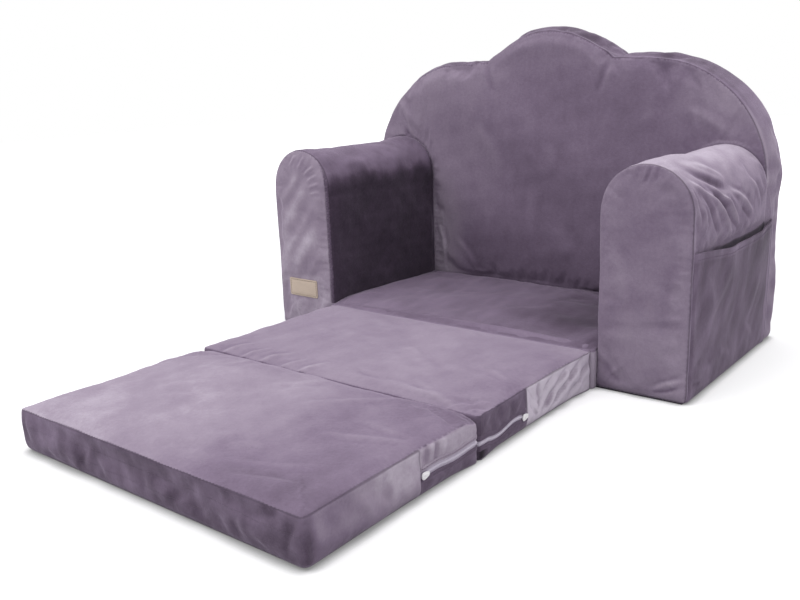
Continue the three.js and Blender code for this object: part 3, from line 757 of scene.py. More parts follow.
def make_slab(name, low, high, folds, tones, joins):
    """A mattress slab. joins is 'front' or 'rear', the end where the two slabs are sewn together."""
    half, rear = high.x, joins == "rear"
    zip_low, zip_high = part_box(f"{name}_zip_chain")
    seam_y, joined_y, way = (zip_low.y, high.y, 1) if rear else (zip_high.y, low.y, -1)
    line = zip_line(name)
    radii = (CORNER, JOINED_CORNER) if rear else (JOINED_CORNER, HINGE_CORNER)
    ring = slab_ring(low.y, high.y, half, *radii, SIDE_DRAW)
    placed = slab_placer(low.y, high.y, half)
    seed = len(name)

    def creases(middle):
        """The rear end of the end slab's upper side seams is soft."""
        x, y, z = middle.T
        return np.where((z > SEAM_TOP / 2) & (np.abs(x) > half - 0.004) & (y > seam_y), 0.15, 1.0)

    def place(flat, level, inside):
        points = placed(flat, level, inside)
        if rear:
            to_side, to_end = np.maximum([half - np.abs(points[:, 0]), high.y - points[:, 1]], 0)
            sink = CORNER_SINK * smoothstep(CORNER_SINK_REACH, 0.0, np.hypot(to_side, to_end))
            points[:, 2] -= sink * smoothstep(CORNER_SINK_DEPTH, 0.0, level)
        return points

    steps = (STEP, STEP, SLAB_UNDER_STEP)
    piece = cushion(f"{name}_cushion", ring, SEAM_TOP, steps, place, creases if rear else None)

    def past_seam(points):
        """How far points lie past the vertical seam, in the part that the zip runs round."""
        return way * (points[:, 1] - seam_y)

    def off_zip(points):
        return np.abs(points[:, 2] - line(points[:, 0], points[:, 1]))

    def in_zip(points, reach):
        return (past_seam(points) > -0.002) & (off_zip(points) < reach)

    def cap(points, first, second):
        limit = slack(np.where(first > 0, SLAB_SLACK, SLAB_SIDE_SLACK), np.abs(nearest(first, second)))
        at_joint = np.abs(points[:, 1] - joined_y) < HELD_BY_JOINT
        held = (second >= -0.003) | ((first <= 0) & (in_zip(points, HELD_BY_ZIP) | at_joint))
        return np.where(held, 0.0, limit)

    first, second, run = relaxed(piece, cap)
    away = np.abs(nearest(first, second))

    def depth(points, around):
        broad = np.where(first > 0, 0.0013, 0.0007)
        out = waves(points, (broad, 11 + seed, 0.15), (0.0003, 23 + seed, 0.03))
        out *= smoothstep(0.0, CALM, away)
        out += seam_pull(away, run, (31 + seed, 32 + seed), (0.0004, 0.0013)) * away_from_hinge(points)
        out[(first <= 0) & in_zip(points, 0.03)] *= 0.25
        groove = ZIP_GROOVE * smoothstep(0.0080, 0.0060, off_zip(points))
        out -= np.where((first < -0.002) & (past_seam(points) > 0), groove, 0.0)
        return (out + fold_depths(points, around, folds)) * smoothstep(0.001, 0.012, points[:, 2])

    points, around, painted_light = displaced(piece, depth, folds)
    edge = first.copy()
    for line_y in (Y_SEAT_SEAM, Y_MIDDLE_SEAM):
        edge[np.abs(points[:, 1] - line_y) < HINGE_REACH] = NO_SEAM
    if rear:
        edge[(points[:, 1] > seam_y + 0.001) & (np.abs(points[:, 0]) > half - 0.02)] = NO_SEAM
    on_side = (first < -0.001) & (np.abs(around[:, 0]) > 0.5)
    vertical = np.where(on_side, points[:, 1] - seam_y, NO_SEAM)
    tone = tones(points, around, first, seam_y, line(points[:, 0], points[:, 1]))
    parts = [f"{name}_{part}" for part in SLAB_PARTS]
    return finished(piece, nearest(edge, second, vertical), tone + painted_light, parts, f"{name}_slab", SOLE)


def brushed(points, seed, length, size, stretch=(1.0, 1.0, 1.0)):
    """Patches where the pile was brushed another way."""
    return size * np.clip(Field(seed, length, 18, stretch)(points), -1.6, 1.6)


def slanted(points):
    """Places seen from the side, turned so that their last axis runs up and to the back."""
    x, y, z = points.T
    return np.stack([x, 0.8 * y - 0.6 * z, 0.6 * y + 0.8 * z], 1)


def shaded(points, tone, *patches):
    """A tone with patches added. A patch is its amount and the stretches over which it comes up,
    each an axis with the places where it starts and where it is full."""
    for amount, *stretches in patches:
        for axis, start, full in stretches:
            amount = amount * smoothstep(start, full, points[:, "xyz".index(axis)])
        tone = tone + amount
    return tone


def end_tones(points, around, first, seam_y, zip_z):
    top, front, rear, right, left = side_mix(around)
    y, z = points[:, 1], points[:, 2]
    on_top = shaded(points, 0.71 + brushed(points, 101, 0.07, 0.020),
                    (0.07, ("x", 0.1, -0.25), ("y", -0.5, -0.75)),
                    (-0.10, ("y", -0.64, -0.78), ("x", -0.1, 0.2)),
                    (-0.19, ("x", -0.02, 0.16)),
                    (-0.08, ("y", -0.56, -0.49)))
    on_side = shaded(points, 0.80, (-0.25, ("y", -0.64, -0.74)), (-0.10, ("z", 0.035, 0.01)))
    by_zip = np.where(z > zip_z, 0.80, 0.34)
    # painted shade: a dark stripe on the right side beside the rounded front corner
    on_right = shaded(points, np.where(y > seam_y, by_zip, on_side), (-0.24, ("y", -0.766, -0.778)))
    on_front = shaded(points, 0.34,
                      (-0.07, ("x", 0.05, 0.26)),
                      (0.05, ("z", 0.02, 0.05), ("x", 0.0, -0.2)))
    streaks = brushed(points, 103, 0.026, 0.045, (1.0, 1.0, 1.5)) + brushed(points, 104, 0.07, 0.035)
    on_band = front * (on_front + streaks) + rear * 0.5 + right * (on_right + 0.7 * streaks) + left * 0.55
    return np.where(first > 0, on_top, on_band + top * np.where(y > seam_y, 0.68, 0.5))


def middle_tones(points, around, first, seam_y, zip_z):
    top, front, rear, right, left = side_mix(around)
    y, z = points[:, 1], points[:, 2]
    # painted shade: a dark hole low at the hinge to the end slab, and a dark line along the side's vertical
    # seam
    shaded_hole = smoothstep(0.020, 0.004, np.hypot(y - Y_MIDDLE_SEAM - 0.002, (z - 0.010) * 0.8))
    light_panel = shaded(points, 1.08, (-0.12, ("y", -0.24, -0.2)))
    panel = np.where(y < seam_y, 0.31 - 0.35 * shaded_hole, light_panel)
    panel = shaded(points, panel, (-0.22 * bell(y - seam_y, 0.0035), ("z", 0.0, 0.03)))
    on_band = front * 0.40 + rear * 0.55 + right * panel + left * 0.55 + top * 0.5
    on_top = shaded(points, 0.640 + brushed(points, 105, 0.07, 0.020),
                    (-0.07, ("x", 0.05, 0.22)),
                    (0.09, ("x", 0.18, 0.235), ("y", -0.30, -0.22)))
    return np.where(first > 0, on_top, on_band + brushed(points, 107, 0.04, 0.02))


def drapes(seed, face, region, count, way, length, width, rise):
    """Soft wrinkles scattered over a region (low u, low v, high u, high v) of a face, which lie about
    one way. Sizes are in millimetres."""
    rng = np.random.default_rng(seed)
    rows = []
    for _ in range(count):
        start = rng.uniform(region[:2], region[2:])
        turn = math.atan2(way[1], way[0]) + rng.uniform(-0.45, 0.45)
        reach = length * rng.uniform(0.6, 1.3)
        end = start + reach * np.array([math.cos(turn), math.sin(turn)])
        rows.append((*start, *end, width * rng.uniform(0.8, 1.3), rise * rng.uniform(0.5, 1.2)))
    return folds_on(face, *rows)


END_FOLDS = [
    *folds_on(
        "top",
        (236, -598, 130, -640, 6, 1.6),
        (238, -588, 150, -585, 5, 1.2),
        (150, -505, 85, -560, 7, 1.3),
        (20, -500, -30, -555, 7, 1.2),
        (-120, -500, -150, -545, 6, 1.1),
        (215, -735, 120, -760, 6, -1.2),
        (205, -700, 90, -745, 6.5, 1.2),
    ),
    *folds_on(
        "right",
        (-588, 60, -593, 34, 3, -2),
        (-579, 60, -583, 34, 3, 1.6),
        (-570, 58, -575, 32, 2.8, -1.6),
        (-556, 58, -563, 34, 3, 1.2),
        (-780, 46, -768, 12, 6, -1.4),
        (-700, 50, -690, 10, 7, 1),
    ),
    *folds_on(
        "front",
        (238, 50, 225, 10, 5, -1.4),
        (-238, 52, -228, 12, 5, -1.2),
    ),
    *drapes(201, "top", (-200, -760, 160, -540), 16, (1.0, 0.35), 70, 7.5, 0.9),
    *drapes(203, "front", (-230, 45, 230, 55), 9, (0.25, -1.0), 35, 8.5, 0.6),
    *drapes(205, "right", (-760, 45, -620, 55), 5, (0.2, -1.0), 35, 6, 1),
]
MIDDLE_FOLDS = [
    *folds_on(
        "top",
        (-202, -497, -176, -448, 6, 2.6),
        (-162, -497, -138, -452, 5, 2.2),
        (-124, -497, -94, -444, 6, 2.8),
        (-84, -497, -58, -455, 5, 2),
        (-50, -497, -18, -448, 5.5, 2.4),
        (40, -464, 215, -483, 5.8, 2.8),
        (20, -452, 150, -466, 5, -1.8),
        (225, -484, 120, -440, 6, 1.4),
        (236, -385, 185, -360, 5, 1.2),
    ),
    *folds_on(
        "right",
        (-212, 56, -330, -2, 5, -4.2),
        (-196, 40, -272, -2, 4.6, -3.6),
        (-256, 58, -348, -2, 4.8, -4),
        (-300, 58, -356, 4, 4.2, -3),
        (-324, 58, -352, 22, 3.6, 2),
        (-343, 58, -341, 18, 3.4, -3.2),
        (-356, 54, -352, 8, 3.4, 2),
        (-366, 34, -350, 8, 3.2, -2.4),
    ),
    *drapes(207, "top", (-200, -440, 180, -240), 12, (1.0, -0.3), 70, 8, 0.8),
]

end_cushion = make_slab("end", end_low, end_high, END_FOLDS, end_tones, "rear")
middle_cushion = make_slab("middle", middle_low, middle_high, MIDDLE_FOLDS, middle_tones, "front")


SEAT_SIDE_RISE = 0.006  # the arms hold the seat's sides up


def make_seat(folds):
    low, high = seat_low, seat_high
    ring = slab_ring(low.y, high.y, high.x, HINGE_CORNER, 0.004, 0.0)
    placed = slab_placer(low.y, high.y, high.x)

    def place(flat, level, inside):
        points = placed(flat, level, inside)
        beside_arm = smoothstep(0.06, 0.0, high.x - np.abs(points[:, 0]))
        along = smoothstep(0.0, 0.05, points[:, 1] - low.y) * smoothstep(high.y, low.y + 0.05, points[:, 1])
        points[:, 2] += np.where(level <= 0, SEAT_SIDE_RISE * beside_arm * along, 0.0)
        return points

    piece = cushion("seat_cushion", ring, SEAM_TOP, (STEP, STEP, HIDDEN_STEP), place)

    def cap(points, first, second):
        return slack(np.where(first > 0, SEAT_SLACK, 0.0), first, at_seam=0.0)

    first, second, run = relaxed(piece, cap)
    away = np.abs(nearest(first, second))

    def depth(points, around):
        out = waves(points, (0.0014, 51, 0.12), (0.0004, 52, 0.03)) * smoothstep(0.002, CALM, first)
        pull = seam_pull(away, run, (55, 56), (0.0010, 0.0012)) * 0.6 * away_from_hinge(points)
        return out + np.where(first > -0.002, pull, 0.0) + fold_depths(points, around, folds)

    points, around, painted_light = displaced(piece, depth, folds)
    x, y, z = points.T
    # the last patch is painted shade and the pile's nap: the seat darkens beside the left arm
    tone = shaded(points, 0.39 + brushed(points, 109, 0.07, 0.020),
                  (-0.27, ("x", 0.0, 0.2), ("y", -0.20, -0.08)),
                  (0.07, ("x", -0.08, -0.22)),
                  (-0.26, ("x", 0.015 - SLAB_HALF, -SLAB_HALF), ("y", low.y + 0.012, low.y + 0.05)))
    at_slab = (x > SLAB_HALF - 0.004) & (y < Y_ARM_FRONT + 0.004) & (z < SEAM_TOP - 0.001)
    tone = np.where(at_slab, 0.80, tone)
    seam = np.where(np.abs(y - Y_SEAT_SEAM) < HINGE_REACH, NO_SEAM, first)
    parts = ["seat_foam_core", "seat_top_panel", "seat_front_panel"]
    finished(piece, seam, tone + painted_light, parts, sole=SOLE)


make_seat([
    *folds_on(
        "top",
        (100, 85, 150, 40, 6, 1.8),
        (150, 90, 190, 30, 6, -1.8),
        (60, 95, 90, 60, 5, 1.2),
        (-225, 60, -180, 85, 6, 1.4),
        (-235, -150, -200, -100, 5, 1),
    ),
    *drapes(209, "top", (-200, -160, 180, 60), 8, (1.0, 0.2), 60, 8, 0.9),
])


# The arms


def arch_depth(points, side):
    """How deep a point lies inside an arm's arch, seen from the front."""
    across = np.abs(points[:, 0] * side - ARM_MIDDLE)
    rise = points[:, 2] - ARM_SPRING
    return ARM_RADIUS - np.where(rise > 0, np.hypot(across, np.maximum(rise, 0)), across)


patch_low, patch_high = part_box("arm_label_patch")


def patch_share(points, first):
    """1 under the sewn patch of the left arm's front, falling to 0 round it."""
    across = np.maximum(np.maximum(patch_low.x - points[:, 0], points[:, 0] - patch_high.x), 0.0)
    up = np.maximum(np.maximum(patch_low.z - points[:, 2], points[:, 2] - patch_high.z), 0.0)
    return (first > 0) * smoothstep(0.012, 0.0, np.hypot(across, up))


BASE = 0.0016  # height of the seams round the underside
ARM_TUCK_DEPTH, ARM_FRONT_TUCK, ARM_TUCK_RISE = 0.006, 0.004, 0.016
ARM_CROWN = 0.003
ARM_SLACK, ARM_SIDE_SLACK = 0.0045, 0.0030
ARM_BACK_GAP = 0.0003
SEAM_SHIFT = 0.0065  # the left arm's front seam lies this far round the inner edge
MOUTH_SAG, MOUTH_FRONT_RISE, MOUTH_REAR_RISE = 0.0040, 0.0105, 0.0085
POCKET_TOP = pocket_high.z + 0.009


def mouth_height(y):
    """The height of the pocket's mouth: it hangs lower in the middle."""
    share = np.clip((np.asarray(y) - pocket_low.y) / (pocket_high.y - pocket_low.y), 0, 1)
    at_front, at_rear = smoothstep(0.42, 0.0, share), smoothstep(0.72, 1.0, share)
    return pocket_high.z - MOUTH_SAG + MOUTH_FRONT_RISE * at_front + MOUTH_REAR_RISE * at_rear


def inner_edge(points, first):
    """1 on the left arm's front panel beside the seat, up to where the arch starts."""
    beside = (first > 0) & (points[:, 0] > -ARM_MIDDLE) & (points[:, 2] > SEAM_TOP)
    return beside * smoothstep(ARM_SPRING + 0.05, ARM_SPRING, points[:, 2])


def make_arm(name, side, folds, tones):
    middle = side * ARM_MIDDLE
    arch = arc((middle, ARM_SPRING), ARM_RADIUS, 0, math.pi, 48)
    left, right = (middle - ARM_RADIUS, BASE), (middle + ARM_RADIUS, BASE)
    ring = even_ring([[right] + arch + [left], [left, right]], STEP)

    def place(flat, level, inside):
        x, z = flat.T
        edge = drawn_in(z, ARM_TUCK_RISE)
        outer = np.clip((x * side - ARM_MIDDLE) / ARM_RADIUS, 0, 1)
        crown = ARM_CROWN * (1 - (1 - np.clip(inside / ARM_RADIUS, 0, 1)) ** CROWN_POWER)
        y = Y_ARM_FRONT + level + ARM_FRONT_TUCK * smoothstep(0.03, 0.0, level) * edge
        y -= np.where(level <= 0, crown, 0.0)
        return np.column_stack([x - side * ARM_TUCK_DEPTH * edge * outer, y, z])

    length = Y_BACK_FRONT - ARM_BACK_GAP - Y_ARM_FRONT
    piece = cushion(f"arm_cushion_{name}", ring, length, (STEP, STEP, HIDDEN_STEP), place)

    def cap(points, first, second):
        x, y, z = points.T
        limit = slack(np.where(first > 0, ARM_SLACK, ARM_SIDE_SLACK), np.abs(first))
        limit *= off_floor(z) * smoothstep(Y_BACK_FRONT, Y_BACK_FRONT - 0.014, y)
        inner = (first <= 0) & (x * side < ARM_MIDDLE)
        limit *= 1 - 0.65 * inner * smoothstep(ARM_SPRING + 0.045, ARM_SPRING - 0.02, z)
        under_pocket = (first <= 0) & (x > ARM_OUTER - 0.008) & (z < POCKET_TOP)
        limit[under_pocket | (second >= -0.001)] = 0.0
        return limit * (1 - patch_share(points, first))

    first, second, run = relaxed(piece, cap)
    away = np.abs(first)

    def depth(points, around):
        x, y, z = points.T
        clear = smoothstep(Y_BACK_FRONT, Y_BACK_FRONT - 0.016, y) * off_floor(z)
        gathers = 0.0015 * smoothstep(ARM_SPRING - 0.05, ARM_SPRING + 0.02, z)
        out = waves(points, (0.0012, 61 + side, 0.13), (0.0003, 67 + side, 0.032))
        out *= smoothstep(0.0, CALM, away)
        out += seam_pull(away, run, (71 + side, 73 + side), (gathers, 0.0009),
                         (0.0085, 0.034), (0.018, 0.05), 0.005)
        out *= clear
        under_pocket = (first <= 0) & (x > ARM_MIDDLE) & (z < POCKET_TOP)
        out[under_pocket] = np.minimum(out[under_pocket], 0.0)
        out += fold_depths(points, around, folds) * clear
        return out * (1 - patch_share(points, first))

    points, around, painted_light = displaced(piece, depth, folds)
    seam = first - SEAM_SHIFT * inner_edge(points, first) if side < 0 else first
    parts = [f"arm_{part}_{name}" for part in ("foam_core", "front_panel", "wrap_panel")]
    return finished(piece, seam, tones(points, around, first) + painted_light, parts)


def right_arm_tones(points, around, first):
    top, front, rear, right, left = side_mix(around)
    above_mouth = points[:, 2] - mouth_height(points[:, 1])
    # painted shadow: the outer side goes dark at and just above the pocket's mouth, in the gap behind the
    # pocket
    on_outer = shaded(points, 0.52 + brushed(slanted(points), 111, 0.032, 0.040, (1.0, 1.0, 2.4)),
                      (-0.55 * smoothstep(0.0035, 0.0005, above_mouth), ("y", -0.17, -0.04)))
    wrap = 0.86 * top + 0.5 * (front + rear) + on_outer * right + 0.45 * left
    on_front = shaded(points, 0.56 + brushed(points, 113, 0.08, 0.018),
                      (0.06, ("z", 0.25, 0.05)),
                      (-0.10, ("z", 0.04, 0.0), ("x", 0.32, 0.26)))
    return np.where(first > 0, on_front, wrap)


def left_arm_tones(points, around, first):
    """The inner side is dark below a ragged line: partly the pile's nap, partly painted shade."""
    top, front, rear, right, left = side_mix(around)
    y, z = points.T[1:]
    ragged = 0.009 * Wave(115, 0.024)(y) + 0.004 * Wave(116, 0.008)(y) + brushed(points, 118, 0.03, 0.003)
    above = smoothstep(0.254, 0.296, z + ragged)
    on_inner = shaded(points, 0.09 + 0.34 * above, (0.03, ("y", -0.05, -0.19)))
    wrap = 0.38 * top + 0.5 * (front + rear) + on_inner * right + 0.55 * left
    wrap += brushed(points, 117, 0.06, 0.022) * above
    on_front = shaded(points, 0.76 + brushed(points, 119, 0.05, 0.025), (-0.08, ("z", 0.14, 0.26)))
    turned = inner_edge(points, first) * smoothstep(SEAM_SHIFT + 0.0006, SEAM_SHIFT - 0.0006, first)
    return np.where(first > 0, on_front + (0.33 - on_front) * turned, wrap)


RIGHT_ARM_FOLDS = [
    *folds_on(
        "right",
        (-146, 316, -50, 276, 5.5, -4.2),
        (-140, 325, -40, 288, 5.5, 2.8),
        (-174, 302, -46, 208, 4.8, 3.7),
        (-130, 298, -12, 212, 4.8, -3.2),
        (-106, 284, -20, 220, 4.4, 3.5),
        (-48, 276, 36, 230, 4.8, 3),
        (-14, 252, 34, 222, 4.2, -2.5),
        (30, 285, 75, 232, 5.5, 2),
        (-164, 268, -152, 234, 3.6, 2.2),
        (-186, 294, -172, 236, 3.4, 2.2),
        (-158, 288, -98, 216, 4.2, -2.5),
    ),
    *folds_on(
        "front",
        (315, 296, 324, 322, 2.6, -1.5),
        (331, 300, 333, 322, 2.4, -1.1),
        (304, 300, 307, 322, 2.4, -0.8),
        (334, 8, 376, 24, 3, -2.6),
        (338, 16, 380, 34, 2.8, 1.8),
        (262, 40, 290, 12, 6, -1.6),
        (270, 220, 300, 120, 9, 1.2),
        (365, 200, 350, 90, 9, -1),
    ),
]
LEFT_ARM_FOLDS = [
    *folds_on(
        "front",
        (-338, 296, -324, 316, 2.8, 1.2),
        (-316, 290, -304, 314, 2.8, 1.4),
        (-305, 280, -280, 297, 2.6, 1.4),
        (-298, 270, -272, 282, 2.6, 1.3),
        (-294, 259, -268, 268, 2.4, 1.1),
        (-292, 248, -267, 253, 2.4, 1),
        (-306, 294, -370, 226, 8.5, 1.8),
        (-292, 274, -374, 172, 12.5, 1.7),
        (-282, 238, -366, 130, 7.5, 1),
        (-274, 204, -344, 104, 11.5, 1.8),
        (-286, 110, -345, 50, 6, -1.8),
        (-270, 55, -300, 12, 5, 1.6),
    ),
    *folds_on(
        "right",
        (-160, 292, -60, 296, 7, 1),
    ),
]

make_arm("right", 1, RIGHT_ARM_FOLDS, right_arm_tones)
left_arm = make_arm("left", -1, LEFT_ARM_FOLDS, left_arm_tones)


# The back

NOTCH_X, NOTCH_Z = 0.124, 0.4615
LOBE_TOP, LOBE_RADIUS = 0.463, 0.201
GUSSET_DRAW = 0.005
GUSSET_WAY_SHARES = (0, 0.3, 0.62, 0.85, 1)  # from the front seam to the rear one
GUSSET_DRAW_SHARES = (1, 0.4, 0.1, 0, 0.7)  # of the draw, at these places
BACK_SWELL, SWELL_SHARE = 0.007, 0.88
BACK_SLACK = 0.0060
SEAT_RISE = 0.004  # the back's front is free from this height over the slabs' seams
TOUCH = 0.004  # this far round the arms and their flaps the back keeps its shape


def back_ring(step):
    """The back's outline in x and z, anticlockwise from its right bottom corner."""
    half, crest = gusset_high.x, gusset_high.z
    rise = crest - NOTCH_Z
    radius = (NOTCH_X ** 2 + rise ** 2) / (2 * rise)
    turn = math.asin(NOTCH_X / radius)
    lobe_x = half - LOBE_RADIUS
    side = [(half, BASE)] + arc((lobe_x, LOBE_TOP - LOBE_RADIUS), LOBE_RADIUS, 0, math.pi / 2, 40)
    for share in np.linspace(0, 1, 9)[1:]:
        side.append((lobe_x - (lobe_x - NOTCH_X) * share, LOBE_TOP - (LOBE_TOP - NOTCH_Z) * share ** 2))
    middle = arc((0, crest - radius), radius, math.pi / 2 - turn, math.pi / 2 + turn, 30)
    other = [(-x, z) for x, z in reversed(side)]
    return even_ring([side, middle, other, [(-half, BASE), (half, BASE)]], step)


def make_back(folds):
    step = STEP * 1.08
    ring = back_ring(step)
    depth_y = Y_REAR - Y_BACK_FRONT
    zip_low, zip_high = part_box("back_zip_chain")
    zip_z = (zip_low.z + zip_high.z) / 2
    along = np.roll(ring, -1, 0) - np.roll(ring, 1, 0)
    out_way = np.column_stack([along[:, 1], -along[:, 0]]) / np.linalg.norm(along, axis=1)[:, None]

    def to_notch(x, z):
        return np.hypot(np.abs(x) - NOTCH_X, z - NOTCH_Z)

    def place(flat, level, inside):
        draw = GUSSET_DRAW * np.interp(level / depth_y, GUSSET_WAY_SHARES, GUSSET_DRAW_SHARES)
        draw *= smoothstep(0.14, 0.0, inside) * smoothstep(0.05, 0.0, inside)
        draw *= 0.25 + 0.75 * smoothstep(0.0, 0.05, to_notch(*flat.T))
        x, z = (flat - out_way[::3][nearest_points(flat, ring[::3])] * draw[:, None]).T
        x = x * (1 - ARM_TUCK_DEPTH * drawn_in(z, ARM_TUCK_RISE) / gusset_high.x)
        rise = np.clip((z - SEAM_TOP - SEAT_RISE) / (NOTCH_Z - SEAM_TOP - SEAT_RISE), 0, 1)
        across = np.abs(x) / (ARM_INNER * SWELL_SHARE)
        swell = BACK_SWELL * (1 - across ** 2) * np.sin(math.pi * rise)
        swell = np.where((level <= 0) & (across < 1), swell, 0.0)
        return np.column_stack([x, Y_BACK_FRONT + level - swell, np.maximum(z, BACK_FLOOR_GAP)])

    piece = cushion("back_cushion", ring, depth_y, (step, step, STEP * 1.4), place)
    start = coordinates(piece.data)
    give(piece, "crease_vert", to_notch(start[:, 0], start[:, 2]) < 0.35 * step)

    def free(points):
        """Where nothing else of the sofa touches the back."""
        x, y, z = np.abs(points[:, 0]), points[:, 1], points[:, 2]
        arch = (arch_depth(points, 1) > -TOUCH) | (arch_depth(points, -1) > -TOUCH)
        behind_arms = (x > ARM_INNER - TOUCH) & (z < ARM_TOP + TOUCH) & arch
        at_front = (y < Y_BACK_FRONT + 0.01) & (behind_arms | (z < SEAM_TOP + SEAT_RISE))
        under_flap = (x > ARM_OUTER - 0.014) & (z < ARM_SPRING + TOUCH)
        under_flap &= y < Y_BACK_FRONT + FLAP_DEPTH + TOUCH
        return ~(at_front | under_flap)

    def at_zip(points, second, reach):
        return (second > 0) & (np.abs(points[:, 2] - zip_z) < reach)

    def cap(points, first, second):
        x, z = points[:, 0], points[:, 2]
        limit = slack(BACK_SLACK, np.abs(nearest(first, second)), 0.025, 0.1)
        limit *= off_floor(z) * smoothstep(0.0, 0.02, to_notch(x, z))
        return np.where(free(points) & ~at_zip(points, second, 0.012), limit, 0.0)

    first, second, run = relaxed(piece, cap)
    away = np.abs(nearest(first, second))

    def depth(points, around):
        out = waves(points, (0.0016, 81, 0.22), (0.0002, 82, 0.05)) * smoothstep(0.0, CALM, away)
        out += seam_pull(away, run, (83, 84), (0.0004, 0.0013))
        out *= smoothstep(0.002, 0.03, points[:, 2])
        out[at_zip(points, second, 0.02)] *= 0.1
        groove = ZIP_GROOVE * smoothstep(0.0074, 0.0056, np.abs(points[:, 2] - zip_z))
        out -= np.where(second > 0, groove, 0.0)
        return np.where(free(points), out + fold_depths(points, around, folds), np.minimum(out, 0.0) * 0.3)

    points, around, painted_light = displaced(piece, depth, folds)
    # painted light: the last patch lightens the lower left of the front, where the left arm's shadow falls
    on_front = shaded(points, 0.485 + brushed(points, 121, 0.15, 0.012),
                      (0.13, ("x", 0.0, -0.25), ("z", 0.1, 0.3)),
                      (0.24, ("x", 0.2, 0.34), ("z", 0.3, 0.4)),
                      (0.08, ("z", 0.40, 0.5)),
                      (-0.10, ("z", 0.2, 0.07)),
                      (0.41, ("x", -0.14, -0.24), ("z", 0.3, 0.1)))
    on_edge = shaded(points, 0.60 + brushed(points, 123, 0.03, 0.045, (1.0, 2.0, 1.0)),
                     (-0.31, ("z", 0.32, 0.45)))
    # painted highlight along a ridge beside the gusset's front seam
    on_edge += 0.14 * bell(first + 0.005, 0.003)
    on_rear = 0.5 + brushed(points, 125, 0.12, 0.03)
    tone = np.where(first > 0, on_front, np.where(second > 0, on_rear, on_edge))
    seam = np.abs(nearest(first, second)) + 0.0012 * smoothstep(0.36, 0.43, points[:, 2])
    parts = ("foam_core", "gusset", "front_panel", "rear_panel", "rear_lower_panel")
    return finished(piece, seam, tone + painted_light, [f"back_{part}" for part in parts])


back_cushion = make_back([
    *folds_on(
        "front",
        (-318, 345, -282, 292, 5.5, -2.6),
        (-330, 330, -296, 300, 5, 1.6),
        (-276, 300, -250, 120, 8, 1.8),
        (-262, 260, -238, 110, 6, -1.8),
        (-247, 160, -218, 78, 6, 1.4),
        (-330, 400, -300, 345, 7, 1.4),
        (-200, 130, -150, 74, 7, 1.4),
        (215, 320, 240, 200, 8, 1.4),
        (250, 380, 330, 330, 8, 1.4),
        (120, 455, 100, 400, 6, -1.4),
        (-120, 455, -105, 405, 6, -1.4),
    ),
    *drapes(211, "front", (-200, 120, 200, 420), 8, (0.2, -1.0), 90, 11, 0.9),
    *drapes(213, "rear", (-300, 120, 300, 420), 14, (0.1, -1.0), 100, 10, 1.2),
    *drapes(215, "right", (130, 120, 180, 260), 7, (0.15, 1.0), 50, 5, 1.2),
])


# Cloth sheets

CLOTH_THICKNESS = 0.0015


def tinted(piece, tone, seam=NO_SEAM):
    """Gives a small piece of velour its tone and its distances to seams."""
    count = len(piece.data.vertices)
    give(piece, "seam", np.broadcast_to(seam, count))
    give(piece, "tone", np.broadcast_to(tone, count))


def grid_of(rows, columns, spot):
    """The points of a sheet. spot gives one for its shares of the way up and across."""
    return np.array([[spot(up, across) for across in np.linspace(0, 1, columns)]
                     for up in np.linspace(0, 1, rows)])


def sheet_piece(name, grid, thickness, inward):
    """A sheet of cloth with a thickness, from a grid of points. inward points to its hidden side."""
    number = np.arange(grid[..., 0].size).reshape(grid.shape[:2])
    half = number.size
    faces = []
    corners = (number[:-1, :-1], number[:-1, 1:], number[1:, 1:], number[1:, :-1])
    for a, b, c, d in zip(*(corner.flat for corner in corners)):
        faces.append((a, b, c, d))
        faces.append((a + half, d + half, c + half, b + half))
    rim = [*number[0], *number[1:, -1], *number[-1, -2::-1], *number[-2:0:-1, 0]]
    for a, b in zip(rim, rim[1:] + rim[:1]):
        faces.append((b, a, a + half, b + half))
    points = np.stack([grid, grid + np.array(inward) * thickness]).reshape(-1, 3)
    return outward(new_piece(name, points, faces))


FLAP_TOP_DEPTH, FLAP_BREAK = 0.008, 0.196  # above the break the flap gets narrower


def make_flap(name, side):
    """The part of the arm's cover that reaches over the back's gusset."""
    node = f"arm_side_flap_{name}"
    low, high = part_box(node)
    tree = tree_of(NODES[node].data)

    def spot(up, across):
        z = low.z + (high.z - low.z) * up
        share = max(0.0, (z - FLAP_BREAK) / (high.z - FLAP_BREAK))
        reach = FLAP_DEPTH + (FLAP_TOP_DEPTH - FLAP_DEPTH) * share
        y = Y_BACK_FRONT + reach * across
        inside_y = min(max(y, low.y + 0.0002), Y_BACK_FRONT + reach - 0.0005)
        inside_z = min(max(z, low.z + 0.0004), high.z - 0.0004)
        hit = tree.ray_cast(Vector((side * 0.6, inside_y, inside_z)), Vector((-side, 0, 0)))[0]
        return (hit.x if hit is not None else side * ARM_OUTER, y, z)

    piece = sheet_piece(f"arm_flap_{name}", grid_of(70, 18, spot), CLOTH_THICKNESS, (-side, 0, 0))
    rear = Y_BACK_FRONT + FLAP_DEPTH - coordinates(piece.data)[:, 1]
    tinted(piece, 0.55, rear - 0.004)
    dress(piece, "velour", "sofa_body", VELOUR, stands_for=[node])


make_flap("right", 1)
make_flap("left", -1)


POCKET_BULGE, POCKET_AIR = 0.008, 0.0009
POCKET_EDGE = 0.007  # this far from its sewn edges the pocket stands off fully
POCKET_SINK = 0.0006  # its sewn edges lie this deep in the arm's outer side
HEM, HEM_RISE, HEM_SINK, STITCH_LINE = 0.012, 0.0006, 0.0004, 0.0095


